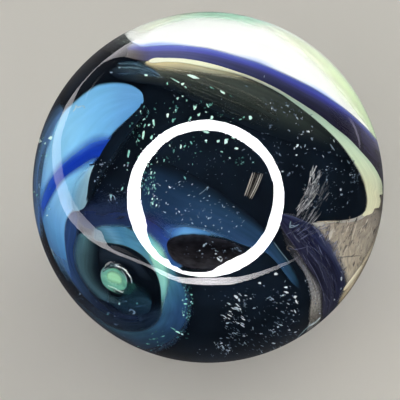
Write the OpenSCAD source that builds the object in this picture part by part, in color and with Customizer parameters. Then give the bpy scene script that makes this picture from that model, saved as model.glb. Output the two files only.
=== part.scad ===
// Handmade glass marble: one solid ball of fused borosilicate glass.
// The rod that held it while it was worked left a pontil mark, a shallow
// round-bottomed dish inside a low fire-polished lip.
// The origin is the ball's centre, with +Z up as it sits in a ring stand.

/* [Ball] */
// Diameter of the ball
ball_d = 25; // [12:0.5:60]

/* [Pontil mark] */
// Diameter of the dish where it meets the ball
pontil_d = 2.1; // [1.2:0.1:5]
// Depth of the dish below its own rim
pontil_depth = 0.12; // [0.06:0.01:0.4]
// Radius of the rounded bead that forms the lip
lip_r = 0.18; // [0.1:0.01:0.3]
// Height that the lip stands proud of the ball
lip_h = 0.03; // [0.01:0.01:0.08]
// Turn of the mark about the vertical, counted from +X
pontil_turn = -120; // [-180:1:180]
// Rise of the mark above the ball's equator
pontil_rise = 14; // [-60:1:60]

/* [Hidden] */
ball_r = ball_d / 2;
// The dish is part of a sphere that passes through its rim and its lowest point
rim_r = pontil_d / 2;
rim_z = sqrt(ball_r ^ 2 - rim_r ^ 2);
dish_r = (rim_r ^ 2 + pontil_depth ^ 2) / (2 * pontil_depth);
dish_z = rim_z - pontil_depth + dish_r;
// The lip's bead runs round the rim, just under the surface of the ball
bead_from_centre = ball_r + lip_h - lip_r;
bead_tilt = asin(rim_r / ball_r);
$fn = 180;

// The bead's own circle is centred over the rim, seen along the mark's axis
module pontil_lip() {
    rotate_extrude()
        translate([bead_from_centre * sin(bead_tilt), bead_from_centre * cos(bead_tilt)])
            circle(lip_r);
}

module pontil_dish() {
    translate([0, 0, dish_z])
        sphere(dish_r);
}

// Carries something made about +Z to the mark's place on the ball
module at_pontil() {
    rotate([0, 90 - pontil_rise, pontil_turn])
        children();
}

// Ball, lip and dish share one axis, so the ball is turned as a whole
module marble() {
    color("midnightblue")
        at_pontil()
            difference() {
                union() {
                    sphere(ball_r);
                    pontil_lip();
                }
                pontil_dish();
            }
}

marble();
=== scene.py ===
"""A handmade glass marble: a clear borosilicate ball with coloured canes, curtains of colour and
dichroic flakes laid round a black core, and the pontil mark where the ball was broken from its rod."""

import math

import bpy
import numpy as np
from mathutils import Matrix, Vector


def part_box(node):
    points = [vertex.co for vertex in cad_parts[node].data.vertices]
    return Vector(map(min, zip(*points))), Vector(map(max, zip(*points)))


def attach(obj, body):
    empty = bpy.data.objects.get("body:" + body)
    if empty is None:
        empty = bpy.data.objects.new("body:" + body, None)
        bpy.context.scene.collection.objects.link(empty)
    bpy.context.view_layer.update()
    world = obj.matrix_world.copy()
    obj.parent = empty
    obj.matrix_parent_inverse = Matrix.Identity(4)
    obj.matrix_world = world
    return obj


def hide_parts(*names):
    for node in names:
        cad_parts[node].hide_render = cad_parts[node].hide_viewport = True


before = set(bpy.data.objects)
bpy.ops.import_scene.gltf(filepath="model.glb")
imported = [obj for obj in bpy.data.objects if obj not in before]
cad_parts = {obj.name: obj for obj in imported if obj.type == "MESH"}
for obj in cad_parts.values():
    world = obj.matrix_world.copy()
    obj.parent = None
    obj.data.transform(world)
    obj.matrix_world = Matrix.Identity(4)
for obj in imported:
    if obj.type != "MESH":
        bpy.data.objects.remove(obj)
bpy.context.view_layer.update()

# ---------------------------------------------------------------- driving values
MM = 0.001
TAU = 2 * math.pi
box_low, box_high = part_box("marble")
BALL_R = max(box_high[k] - box_low[k] for k in range(3)) / 2
FACE_R = 12.5                     # the ball's radius in the millimetres of the face map below
GLASS_IOR = 1.47                  # borosilicate glass

# The pontil mark, as it is on the solid ball: millimetres, and degrees round and above the waist
PONTIL_TURN = math.radians(-120)
PONTIL_RISE = math.radians(14)
PONTIL_D = 2.1
PONTIL_DEPTH = 0.12
LIP_R = 0.18
LIP_H = 0.03
DISH_STEPS, LIP_STEPS, BALL_STEPS = 16, 6, 150

# The eye stands in front of the ball and looks down at it
EYE_RISE = math.radians(50)
EYE_DIST = 0.120
FRAME_PX = 400                    # the picture's side
BALL_PX = (208.0, 187.5)          # where the ball's middle falls in the picture
BALL_PX_R = 175.5                 # the ball's radius in the picture

RIGHT = np.array([1.0, 0.0, 0.0])
UP = np.array([0.0, math.sin(EYE_RISE), math.cos(EYE_RISE)])
TO_EYE = np.array([0.0, -math.cos(EYE_RISE), math.sin(EYE_RISE)])
HALF_VIEW = math.asin(BALL_R / EYE_DIST)


def unit(vectors):
    """Each vector, cut or stretched to length 1."""
    return vectors / np.linalg.norm(vectors, axis=-1, keepdims=True)


PONTIL = np.array([math.cos(PONTIL_RISE) * math.cos(PONTIL_TURN),
                   math.cos(PONTIL_RISE) * math.sin(PONTIL_TURN), math.sin(PONTIL_RISE)])
PONTIL_X = unit(TO_EYE - TO_EYE @ PONTIL * PONTIL)
PONTIL_Y = np.cross(PONTIL, PONTIL_X)


# ---------------------------------------------------------------- places in the ball
# The face map is what the eye sees: millimetres right of and above the ball's middle, with the
# ball's outline at FACE_R. Past the outline it unrolls the ball's back, whose middle is at 2 FACE_R.
def sight_angles(reach):
    """Angles of the sight line that meets the face reach ball radii from its middle: off the eye's
    own axis, of incidence, and inside the glass. The sine rule in the triangle of eye, centre and
    surface gives the second, and the law of refraction the third."""
    off_axis = np.arctan(reach * math.tan(HALF_VIEW))
    sine = np.clip(np.sin(off_axis) / math.sin(HALF_VIEW), 0, 1)
    return off_axis, np.arcsin(sine), np.arcsin(sine / GLASS_IOR)


def round_eye(polar, turn):
    """Unit vectors at an angle polar from the eye's axis, turned round it from the right."""
    ring = np.cos(turn)[..., None] * RIGHT + np.sin(turn)[..., None] * UP
    return np.cos(polar)[..., None] * TO_EYE + np.sin(polar)[..., None] * ring


def on_face(face, depth):
    """Unit vectors from the ball's centre to places of the face map, on the inner sphere whose
    radius is depth ball radii: the sight line bends at the skin and goes on to that sphere. Past
    the outline the angle from the eye's axis grows evenly to half a turn."""
    face = np.asarray(face, float)
    reach = np.hypot(face[..., 0], face[..., 1]) / FACE_R
    off_axis, outside, inside = sight_angles(np.minimum(reach, 1))
    seen = outside - off_axis - inside + np.arcsin(np.clip(np.sin(inside) / depth, 0, 1))
    polar = seen + np.maximum(reach - 1, 0) * (math.pi - seen)
    return round_eye(polar, np.arctan2(face[..., 1], face[..., 0]))


def round_pontil(places):
    """Unit vectors at (angle from the pontil mark, turn round it) in degrees."""
    away, turn = np.moveaxis(np.radians(np.asarray(places, float)), -1, 0)
    ring = np.cos(turn)[..., None] * PONTIL_X + np.sin(turn)[..., None] * PONTIL_Y
    return np.cos(away)[..., None] * PONTIL + np.sin(away)[..., None] * ring


def smooth_path(points, count):
    """A smooth curve through the points: cubic pieces between them, whose slope at each point is
    the slope of the parabola through it and its neighbours, spaced evenly along the chords."""
    points = np.asarray(points, float)
    run = np.concatenate([[0], np.cumsum(np.linalg.norm(np.diff(points, axis=0), axis=1))])
    slope = np.gradient(points, run, axis=0)
    at = np.linspace(0, run[-1], count)
    k = np.clip(np.searchsorted(run, at, side="right") - 1, 0, len(run) - 2)
    width = (run[k + 1] - run[k])[:, None]
    t = ((at - run[k]) / (run[k + 1] - run[k]))[:, None]
    return (
        points[k] * (2 * t**3 - 3 * t**2 + 1)
        + points[k + 1] * (3 * t**2 - 2 * t**3)
        + slope[k] * width * (t**3 - 2 * t**2 + t)
        + slope[k + 1] * width * (t**3 - t**2)
    )


# ---------------------------------------------------------------- meshes
def make_mesh(name, points, faces, uv=None, tone=None, sharp=None):
    """One mesh, smooth-shaded; uv and tone are numbers for each of its points, and edges sharper
    than sharp degrees stay crisp."""
    mesh = bpy.data.meshes.new(name)
    mesh.from_pydata(points.tolist(), [], faces)
    mesh.update()
    mesh.polygons.foreach_set("use_smooth", np.ones(len(mesh.polygons), bool))
    if uv is not None:
        corner = np.zeros(len(mesh.loops), int)
        mesh.loops.foreach_get("vertex_index", corner)
        layer = mesh.uv_layers.new(name="cane")
        layer.data.foreach_set("uv", uv[corner].astype(np.float32).ravel())
    if tone is not None:
        mesh.attributes.new("tone", "FLOAT", "POINT").data.foreach_set("value", tone.astype(np.float32))
    if sharp is not None:
        mesh.set_sharp_from_angle(angle=math.radians(sharp))
    piece = bpy.data.objects.new(name, mesh)
    bpy.context.scene.collection.objects.link(piece)
    return piece


def closed_skin(rows, uv=None):
    """Closes a grid of points, rows by columns: the columns join round, and the first and the last
    row, which each hold one point over and over, become the two poles. Faces point outwards."""
    count, around = rows.shape[:2]
    points = np.concatenate([rows[0, :1], rows[1:-1].reshape(-1, 3), rows[-1, :1]])
    here = 1 + np.arange((count - 2) * around).reshape(count - 2, around)
    right = np.roll(here, -1, axis=1)
    quads = np.stack([here[:-1], here[1:], right[1:], right[:-1]], -1).reshape(-1, 4)
    start = np.stack([np.zeros(around, int), here[0], right[0]], -1)
    end = np.stack([np.full(around, len(points) - 1), right[-1], here[-1]], -1)
    a, b, c, d = np.moveaxis(points[quads], 1, 0)
    inside_out = np.einsum("ij,ij->", a, np.cross(b, c)) + np.einsum("ij,ij->", a, np.cross(c, d)) < 0
    step = -1 if inside_out else 1
    faces = start[:, ::step].tolist() + quads[:, ::step].tolist() + end[:, ::step].tolist()
    if uv is not None:
        uv = np.concatenate([uv[0, :1], uv[1:-1].reshape(-1, 2), uv[-1, :1]])
    return points, faces, uv


def together(skins):
    """Puts several closed skins, each its points, faces and uv, into one mesh's points and faces."""
    starts = np.cumsum([0] + [len(points) for points, _, _ in skins])
    faces = [[corner + start for corner in face]
             for (_, some, _), start in zip(skins, starts) for face in some]
    return np.concatenate([points for points, _, _ in skins]), faces


CANE_TAPER = 6                    # the higher, the nearer its ends a cane keeps its thickness


def petal_rows(side_a, side_b, depth, thickness, rows, around):
    """A flattened cane between two edges, lists of unit vectors that start and end together.
    Across it, the direction goes from one edge to the other as (1 - cos v) / 2, and its radius is
    depth plus half the thickness times sin v, so its section is a thin ellipse. Its thickness
    falls to nothing at both ends. Also gives its length and its mean width in millimetres."""
    a = unit(smooth_path(side_a, rows))
    b = unit(smooth_path(side_b, rows))
    u = np.linspace(0, 1, rows)
    v = np.linspace(0, TAU, around, endpoint=False)
    across = (1 - np.cos(v)) / 2
    taper = np.sqrt(1 - np.abs(2 * u - 1) ** CANE_TAPER)
    way = unit(a[:, None] * (1 - across)[:, None] + b[:, None] * across[:, None])
    radius = BALL_R * depth + MM * thickness / 2 * np.sin(v) * taper[:, None]
    points = way * radius[..., None]
    points[[0, -1]] = points[[0, -1]].mean(1, keepdims=True)
    uv = np.stack(np.broadcast_arrays(u[:, None], across), -1)
    uv[[0, -1], :, 1] = 0.5
    middle = (a + b) / 2
    length = np.linalg.norm(np.diff(middle, axis=0), axis=1).sum() * BALL_R * depth / MM
    width = np.linalg.norm(a - b, axis=1).mean() * BALL_R * depth / MM
    return points, uv, length, width


# ---------------------------------------------------------------- materials
def linear(hex_colour):
    """An sRGB hex colour as linear light, with full opacity."""
    channels = [int(hex_colour[k : k + 2], 16) / 255 for k in (1, 3, 5)]
    return [c / 12.92 if c <= 0.04045 else ((c + 0.055) / 1.055) ** 2.4 for c in channels] + [1.0]


def add(tree, kind, settings=(), **links):
    """Adds a node. Settings name its own properties or its inputs, and links join inputs, named or
    numbered after an underscore, to the outputs that feed them."""
    node = tree.nodes.new(kind)
    for key, value in dict(settings).items():
        if isinstance(key, str) and hasattr(node, key):
            setattr(node, key, value)
        else:
            node.inputs[key].default_value = value
    for key, source in links.items():
        socket = node.inputs[int(key[1:])] if key[0] == "_" else node.inputs[key.replace("_", " ")]
        tree.links.new(source, socket)
    return node


def new_material(name):
    """An empty node material, and its node tree."""
    material = bpy.data.materials.new(name)
    material.use_nodes = True
    material.node_tree.nodes.clear()
    return material, material.node_tree


def set_stops(ramp, stops):
    """Puts (place, hex colour) stops into a colour ramp."""
    elements = ramp.color_ramp.elements
    elements.remove(elements[-1])
    elements[0].position, elements[0].color = stops[0][0], linear(stops[0][1])
    for place, colour in stops[1:]:
        elements.new(place).color = linear(colour)
    return ramp.outputs[0]


BLACK_DEEP = "#0f161e"
NOISE_LOW, NOISE_HIGH = 0.3, 0.7  # what a noise's values mostly lie between
BROAD = 4                         # the broad bands of a cane, in widths of its fine streaks
BROAD_LAYER = 3.0                 # where the broad bands' noise is cut, clear of the fine one's
CLOUD = 4 * MM                    # a cloud's width in the black glass
GLITTER = 0.1 * MM                # a patch's width on a flake or thread
GLITTER_REACH = 0.25              # how far a patch's tint is off its flake's, at most


def turned_out(tree, cover):
    """The cover of a half-clear piece: all of it on a face met from outside, and none on one met from
    inside, so that the piece's dark far side doesn't grey its thin edges."""
    side = add(tree, "ShaderNodeNewGeometry").outputs["Backfacing"]
    return add(tree, "ShaderNodeMath", {"operation": "MULTIPLY_ADD", 1: -cover, 2: cover},
               _0=side).outputs[0]


def glossless(tree, colour, roughness, cover=None):
    """Ends a material that has no gloss of its own, because no air touches it or because it is matt.
    cover, where there is one, is how much of what lies below it hides."""
    shader = add(tree, "ShaderNodeBsdfPrincipled", {"Roughness": roughness, "Specular IOR Level": 0.0},
                 Base_Color=colour)
    if cover is not None:
        tree.links.new(cover, shader.inputs["Alpha"])
    add(tree, "ShaderNodeOutputMaterial", Surface=shader.outputs[0])


def cane_glass(name, size, across, along=None, share=0.0, slant=0.0, soft=(0, 0), ends=(0, 0),
               sink=(0, 0), sink_ends=(0, 0), body=1.0, streak=0.15, pitch=0.25, pull=3.0, wave=0.08,
               ragged=0.0):
    """Coloured glass drawn out into a cane, laid under clear glass: no air touches it, so it has no
    gloss of its own and shows its colour evenly. What it gives the eye is bands of colour that run
    with the pull, a little wavy, with fine darker and lighter streaks between them. Where it was
    pulled thin it fades into the glass below.
    size: the cane's length and width in millimetres. across, along: colours over the width and the
    length, the second leaning by slant and taking a share of the whole. soft, ends: how much of the
    width and of the length fades out at either side. sink, sink_ends: how much of them darkens to
    black glass instead, where nothing else lies below. body: how much it hides where it is thickest.
    streak, pitch, pull: a streak's strength, and its width and length in millimetres. wave, ragged:
    how far the bands and the soft sides wander, in shares of the width."""
    material, tree = new_material(name)
    place = add(tree, "ShaderNodeTexCoord").outputs["UV"]
    split = add(tree, "ShaderNodeSeparateXYZ", _0=place)
    u, w = split.outputs[0], split.outputs[1]
    noises = []
    for breadth, layer, detail in ((pitch, 0.0, 2.0), (BROAD * pitch, BROAD_LAYER, 0.0)):
        drawn = add(tree, "ShaderNodeMapping", {"Scale": (size[0] / pull, size[1] / breadth, 1.0),
                                                "Location": (0.0, 0.0, layer)}, Vector=place)
        noises.append(add(tree, "ShaderNodeTexNoise", {"Scale": 1.0, "Detail": detail},
                          Vector=drawn.outputs[0]).outputs[0])
    fine, broad = noises

    def wander(most):
        """The broad bands' noise as a shift of up to most, either way."""
        return add(tree, "ShaderNodeMath", {"operation": "MULTIPLY_ADD", 1: 2 * most, 2: -most},
                   _0=broad).outputs[0]

    bent = add(tree, "ShaderNodeMath", {"operation": "ADD"}, _0=w, _1=wander(wave))
    colour = set_stops(add(tree, "ShaderNodeValToRGB", _0=bent.outputs[0]), across)
    if along:
        lean = add(tree, "ShaderNodeMath", {"operation": "MULTIPLY_ADD", 1: slant}, _0=w, _2=u)
        second = set_stops(add(tree, "ShaderNodeValToRGB", _0=lean.outputs[0]), along)
        colour = add(tree, "ShaderNodeMix", {"data_type": "RGBA", 0: share}, _6=colour,
                     _7=second).outputs[2]
    gain = add(tree, "ShaderNodeMapRange", {"From Min": NOISE_LOW, "From Max": NOISE_HIGH,
                                            "To Min": 1 - streak, "To Max": 1 + streak}, Value=fine)
    shade = add(tree, "ShaderNodeHueSaturation", Color=colour, Value=gain.outputs[0]).outputs[0]
    torn = wander(ragged)

    def climbs(sides, lengths):
        """Smooth climbs from 0 at the cane's sides and ends to 1 as far in as each reaches."""
        found = []
        for axis, reaches, tear in ((w, sides, ragged), (u, lengths, 0)):
            for far, reach in enumerate(reaches):
                if reach <= 0:
                    continue
                inward = axis
                if far:
                    inward = add(tree, "ShaderNodeMath", {"operation": "SUBTRACT", 0: 1.0},
                                 _1=axis).outputs[0]
                if tear:
                    inward = add(tree, "ShaderNodeMath", {"operation": "ADD"}, _0=inward,
                                 _1=torn).outputs[0]
                climb = add(tree, "ShaderNodeMapRange", {"interpolation_type": "SMOOTHSTEP",
                                                         "From Max": reach}, Value=inward)
                found.append(climb.outputs[0])
        return found

    for climb in climbs(sink, sink_ends):
        shade = add(tree, "ShaderNodeMix", {"data_type": "RGBA", 6: linear(BLACK_DEEP)}, _0=climb,
                    _7=shade).outputs[2]
    cover, fades = None, climbs(soft, ends)
    if fades or body < 1:
        cover = turned_out(tree, body)
        for fade in fades:
            cover = add(tree, "ShaderNodeMath", {"operation": "MULTIPLY"}, _0=cover, _1=fade).outputs[0]
    glossless(tree, shade, roughness=0.5, cover=cover)
    return material


def clear_glass():
    """Borosilicate glass, flame-polished: clear, with a hard even gloss, and it bends and enlarges
    what lies inside it."""
    material, tree = new_material("borosilicate_clear_glass")
    shader = add(tree, "ShaderNodeBsdfPrincipled", {"Base Color": linear("#ffffff"), "Roughness": 0.0,
                                                    "IOR": GLASS_IOR, "Transmission Weight": 1.0})
    add(tree, "ShaderNodeOutputMaterial", Surface=shader.outputs[0])
    return material


def black_glass():
    """Opaque black glass: a very deep blue-green cloudiness where the light gets into it, in clouds
    about 4 mm across."""
    material, tree = new_material("black_glass")
    place = add(tree, "ShaderNodeTexCoord").outputs["Object"]
    cloud = add(tree, "ShaderNodeTexNoise", {"Scale": 1 / CLOUD, "Detail": 3.0}, Vector=place)
    colour = set_stops(add(tree, "ShaderNodeValToRGB", _0=cloud.outputs[0]),
                       [(0.30, "#0b1018"), (0.50, BLACK_DEEP), (0.70, "#131c28")])
    glossless(tree, colour, roughness=0.6)
    return material


def toned_glass(name, stops, cover=1.0):
    """Dichroic glass in broken flakes, and glass drawn to hairs: a metal oxide film or the drawing gives
    each its own tint, from the number tone that it carries. On the flakes a high tone is also a painted
    glint, and the uneven glitter is painted too, as lighter and darker patches of colour about 0.1 mm
    across."""
    material, tree = new_material(name)
    tone = add(tree, "ShaderNodeAttribute", {"attribute_name": "tone"})
    place = add(tree, "ShaderNodeTexCoord").outputs["Object"]
    patch = add(tree, "ShaderNodeTexNoise", {"Scale": 1 / GLITTER, "Detail": 1.0}, Vector=place)
    uneven = add(tree, "ShaderNodeMath", {"operation": "MULTIPLY_ADD", 1: 2 * GLITTER_REACH,
                                          2: -GLITTER_REACH}, _0=patch.outputs[0])
    level = add(tree, "ShaderNodeMath", {"operation": "ADD"}, _0=tone.outputs["Fac"],
                _1=uneven.outputs[0])
    colour = set_stops(add(tree, "ShaderNodeValToRGB", _0=level.outputs[0]), stops)
    glossless(tree, colour, roughness=0.3, cover=turned_out(tree, cover) if cover < 1 else None)
    return material


def part(piece, material):
    """Everything in the ball rides on its one body and takes its material."""
    piece.data.materials.append(material)
    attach(piece, "root")
    return piece


def lay(name, high, low, depth, thickness, glass, rows=120, around=32, back=None, **look):
    """Lays one cane in the material that look describes. high and low are its two edges on the face
    map, or None where it lies at the back alone, and back holds their further places about the
    pontil mark, where it goes on round the back. Its middle lies at depth, in ball radii, and it is
    thickness millimetres thick there."""
    sides = []
    for k, edge in enumerate((high, low)):
        ways = [on_face(edge, depth)] if edge else []
        sides.append(np.concatenate(ways + ([round_pontil(back[k])] if back else [])))
    points, uv, length, width = petal_rows(*sides, depth, thickness, rows, around)
    piece = part(make_mesh(name, *closed_skin(points, uv)), cane_glass(glass, (length, width), **look))
    piece.visible_shadow = False  # the canes are fused flush with one another, so none shades the next


# ---------------------------------------------------------------- the clear ball
def meet(a, radius_a, b, radius_b):
    """Where two circles cross in a plane, on the left of the way from a to b: the foot of the
    common chord lies (d2 + ra2 - rb2) / 2d along it."""
    a, b = np.asarray(a, float), np.asarray(b, float)
    gap = np.linalg.norm(b - a)
    foot = (gap**2 + radius_a**2 - radius_b**2) / (2 * gap)
    height = math.sqrt(radius_a**2 - foot**2)
    along = (b - a) / gap
    return a + along * foot + np.array([-along[1], along[0]]) * height


def arc(centre, start, end, count, bulge):
    """Points of a circle from start to end, round its centre to the left where bulge is 1, and to
    the right where it is -1."""
    first = math.atan2(start[1] - centre[1], start[0] - centre[0])
    last = math.atan2(end[1] - centre[1], end[0] - centre[0])
    sweep = (last - first) % TAU if bulge > 0 else -((first - last) % TAU)
    angle = first + np.linspace(0, 1, count) * sweep
    radius = math.hypot(start[0] - centre[0], start[1] - centre[1])
    return np.stack([centre[0] + radius * np.cos(angle), centre[1] + radius * np.sin(angle)], -1)


def ball_rows(around=240):
    """The ball as its half outline turned once about the pontil's axis. The outline, as (off the
    axis, along it), is the dish's arc, the fire-rounded lip's arc and the ball's own."""
    ball_r = BALL_R / MM
    rim_r = PONTIL_D / 2
    rim_z = math.sqrt(ball_r**2 - rim_r**2)
    dish_r = (rim_r**2 + PONTIL_DEPTH**2) / (2 * PONTIL_DEPTH)
    dish = (0.0, rim_z - PONTIL_DEPTH + dish_r)
    tilt = math.asin(rim_r / ball_r)
    bead = ((ball_r + LIP_H - LIP_R) * math.sin(tilt), (ball_r + LIP_H - LIP_R) * math.cos(tilt))
    inner = meet(dish, dish_r, bead, LIP_R)
    outer = meet(bead, LIP_R, (0.0, 0.0), ball_r)
    outline = np.concatenate([
        arc(dish, (0.0, dish[1] - dish_r), inner, DISH_STEPS, 1)[:-1],
        arc(bead, inner, outer, LIP_STEPS, -1)[:-1],
        arc((0.0, 0.0), outer, (0.0, -ball_r), BALL_STEPS, -1),
    ])
    turn = np.linspace(0, TAU, around, endpoint=False)
    ring = np.cos(turn)[:, None] * PONTIL_X + np.sin(turn)[:, None] * PONTIL_Y
    return MM * (outline[:, None, :1] * ring + outline[:, None, 1:] * PONTIL)


ball = part(make_mesh("clear_ball", *closed_skin(ball_rows())), clear_glass())
ball.visible_shadow = False       # clear glass lets the lamps' light through to the colours in it
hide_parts("marble")

# ---------------------------------------------------------------- the dark core
CORE_DEPTH = 0.83                 # ball radii, as every depth is
GAP_FLOOR = 0.30
GAP_OPENS = math.radians(3)       # the way from the gap's tip to where it has its full width
GAP_CLOSES = math.radians(6)      # and back to none at its far end
GAP_INSET = 0.02                  # how far the floor's columns keep off either wall, in its widths
EDGE_STEPS = 300
CORE_CRISP = 40                   # degrees

# Edges of the clear gap in the core: both start at its tip and open towards the ball's back
GAP_TOP = [(5.1, -2.3), (6.2, -2.5), (7.6, -2.5), (8.5, -2.45), (9.5, -2.35), (10.5, -2.15), (11.3, -1.7),
           (12.2, -0.7), (12.6, -0.2), (16.0, -0.5), (20.5, -2.5), (24.0, -5.0)]
GAP_LOW = [(5.1, -2.3), (5.35, -3.4), (5.9, -4.4), (6.5, -5.05), (7.0, -6.0), (7.35, -7.0), (7.45, -8.0),
           (7.4, -9.0), (7.15, -9.8), (7.0, -10.5), (8.2, -13.5), (10.0, -17.5), (11.0, -21.8)]


def gap_edge(face, polar):
    """The turn round the eye's axis of an edge of the gap at each angle from that axis, and the
    angles at which the edge starts and ends."""
    way = unit(smooth_path(on_face(face, CORE_DEPTH), EDGE_STEPS))
    angle = np.arccos(np.clip(way @ TO_EYE, -1, 1))
    return np.interp(polar, angle, np.unwrap(np.arctan2(way @ UP, way @ RIGHT))), angle[0], angle[-1]


def core_rows(count=150, solid=230, wall=7, floor=30):
    """Rings about the eye's axis. Round each, the columns run over the solid from the gap's upper
    edge to its lower one, down the wall, across the gap's floor and up the other wall."""
    polar = np.linspace(0, math.pi, count)
    top, tip, last = gap_edge(GAP_TOP, polar)
    bottom, _, _ = gap_edge(GAP_LOW, polar)
    opened = np.clip((polar - tip) / GAP_OPENS, 0, 1) * np.clip((last - polar) / GAP_CLOSES, 0, 1)
    middle = (top + bottom) / 2
    top = middle + (top - middle) * opened
    bottom = middle + (bottom - middle) * opened
    down = np.linspace(0, 1, wall)
    turn = np.concatenate([
        top[:, None] + (bottom + TAU - top)[:, None] * np.linspace(0, 1, solid),
        (bottom + TAU)[:, None] + 0 * down,
        (bottom + TAU)[:, None] + (top - bottom)[:, None] * np.linspace(GAP_INSET, 1 - GAP_INSET, floor),
        (top + TAU)[:, None] + 0 * down[:-1],
    ], axis=1)
    fall = np.concatenate([np.zeros(solid), down, np.ones(floor), down[:0:-1]])
    radius = CORE_DEPTH - (CORE_DEPTH - GAP_FLOOR) * fall * (opened > 0)[:, None]
    return round_eye(polar[:, None] + 0 * turn, turn) * (radius * BALL_R)[..., None]


part(make_mesh("black_core", *closed_skin(core_rows()), sharp=CORE_CRISP), black_glass())

# ---------------------------------------------------------------- the canes
# Each edge is a list of places on the face map, in millimetres, chosen where the edge bends. Round
# the back the canes wind on towards the pole opposite the pontil mark, as the twist of the rod left
# them.

# The white band with its mint rim, and the violet and the ivory that follow its lower edge
lay("white_cane",
    [(-10.8, 12.4), (-10.2, 13.8), (-8.6, 15.0), (-6.0, 15.6), (-3.0, 15.0)],
    [(-10.8, 12.4), (-9.6, 12.9), (-8.2, 12.9), (-7.1, 12.3), (-6.35, 11.5), (-5.92, 10.82), (-5.2, 10.12),
     (-4.8, 9.95), (-4, 9.99), (-3, 10.04), (-2, 10.03), (-1, 9.96), (0, 9.83), (1, 9.6), (2, 9.29),
     (3, 8.98), (4, 8.62), (5, 8.2), (6, 7.75), (7, 7.25), (8, 6.67), (9, 6.02), (10, 5.32), (11, 4.44),
     (11.6, 3.86), (12.05, 3.3)],
    0.91, 0.05, "opal_white_glass", rows=240, soft=(0, 0.032), ends=(0.05, 0),
    back=([(131, 58), (137, 38), (141, 14), (144, -14), (147, -44), (151, -75), (156, -100), (161, -125),
           (164, -150), (166, -180), (168, -215), (170, -250), (172, -280)],
          [(127, -50), (131, -72), (137, -92), (144, -112), (150, -132), (154, -155), (157, -180),
           (161, -215), (167, -250), (172, -280)]),
    across=[(0.0, "#c3e8d4"), (0.25, "#d8f2e0"), (0.45, "#fbfdf8"), (0.955, "#fdfefd"), (0.98, "#dce6f8"),
            (1.0, "#a8bcea")], streak=0.02)

lay("mint_cane",
    [(-9.9, 12.9), (-9.2, 13.7), (-7.6, 14.4), (-5.0, 14.7), (-2.0, 14.5), (1.0, 14.1), (4, 13.4),
     (8, 11.5), (11, 8.7), (12.7, 5.7), (12.7, 4.0), (12.02, 3.35)],
    [(-9.9, 12.9), (-8.6, 13.1), (-7.5, 12.7), (-6.6, 11.8), (-6.1, 11.05), (-5.8, 10.6), (-5.35, 10.35),
     (-4.8, 10.5), (-4.2, 10.85), (-3.6, 11.1), (-3, 11.3), (-2, 11.6), (-1, 11.75), (0, 11.78),
     (0.6, 11.7), (1.6, 11.58), (2.8, 11.3), (3.4, 11.2), (4.2, 10.8), (5, 10.25), (6, 9.6), (7, 8.7),
     (8, 7.65), (9, 6.5), (10, 5.35), (11, 4.35), (11.55, 3.8), (12.02, 3.35)],
    0.9135, 0.03, "mint_glass", rows=160, soft=(0, 0.45), ends=(0.03, 0),
    across=[(0.0, "#b4f0d2"), (0.4, "#c4f8d2"), (0.6, "#d2fcd0"), (0.8, "#eaffd6"), (1.0, "#fcffe2")],
    along=[(0.0, "#9ccfc0"), (0.1, "#bfe4cc"), (0.17, "#d0e0c8"), (0.22, "#e4eed6"), (0.27, "#fffff0"),
           (0.33, "#fdffe8"), (0.36, "#f6ffea"), (0.385, "#e0fbe8"), (0.43, "#b4f2de"), (0.5, "#98e8d0"),
           (0.54, "#b4f4de"), (0.575, "#fafff4"), (0.64, "#ffffe2"), (0.72, "#f6ffd2"), (0.79, "#eeffc4"),
           (0.9, "#e8ffc2"), (1.0, "#dcfcc4")], share=0.65, streak=0.0, pitch=0.4, wave=0.0)

lay("rim_smoke",
    [(-6.5, 12.1), (-7.0, 11.4), (-7.5, 10.8), (-7.6, 10.1), (-7.1, 9.6), (-6.3, 9.5), (-5.6, 9.75)],
    [(-6.5, 12.1), (-6.0, 11.5), (-5.65, 11.05), (-5.3, 10.7), (-5.1, 10.35), (-5.15, 10.0), (-5.6, 9.75)],
    0.917, 0.03, "smoke_grey_glass", rows=48, soft=(0.1, 0.5), ends=(0, 0.3), ragged=0.08,
    across=[(0.0, "#232726"), (0.45, "#31353a"), (0.7, "#5a6460"), (1.0, "#9aa69c")], streak=0.3, pitch=0.2,
    pull=1.0)

lay("violet_cane",
    [(-6.3, 9.6), (-5.5, 10.2), (-4.2, 10.35), (-2, 10.4), (0, 10.2), (2, 9.7), (4, 9.1), (6, 8.3),
     (8, 7.4), (10, 5.9), (11, 5.0), (12.05, 3.6)],
    [(-6.3, 9.6), (-5.7, 9.25), (-4.8, 9.05), (-4, 9.0), (-3, 9.05), (-2, 9.0), (0, 8.65), (2, 8.05),
     (4, 7.3), (6, 6.2), (8, 4.9), (10, 3.3), (11, 2.1), (11.9, 1.2), (12.4, 0.3)],
    0.901, 0.05, "violet_cobalt_glass", rows=200, ends=(0.03, 0),
    back=([(130, -50), (134, -73), (140, -93), (147, -113), (153, -133), (157, -156), (160, -181),
           (164, -215), (167, -245), (168, -265)],
          [(116, -68), (121, -84), (129, -101), (138, -119), (145, -137), (150, -158), (153, -182),
           (157, -215), (163, -245), (168, -265)]),
    across=[(0.14, "#b4c4ea"), (0.21, "#93a4dc"), (0.3, "#6271ca"), (0.42, "#4a50b0"), (0.56, "#393a5a"),
            (0.7, "#292a34"), (0.85, "#1e1d26"), (1.0, "#181720")],
    along=[(0.0, "#6c645c"), (0.03, "#746c68"), (0.044, "#76708a"), (0.058, "#7e80b8"), (0.09, "#7a7eb6"),
           (0.14, "#5c62a0"), (0.18, "#484e80"), (0.225, "#363c68"), (0.27, "#262a48"), (0.32, "#20223a"),
           (0.37, "#222234"), (0.42, "#282838"), (0.5, "#343a5a"), (1.0, "#38427e")], share=0.4,
    slant=-0.01, streak=0.14, wave=0.03, pitch=0.22, pull=5.0)

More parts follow.
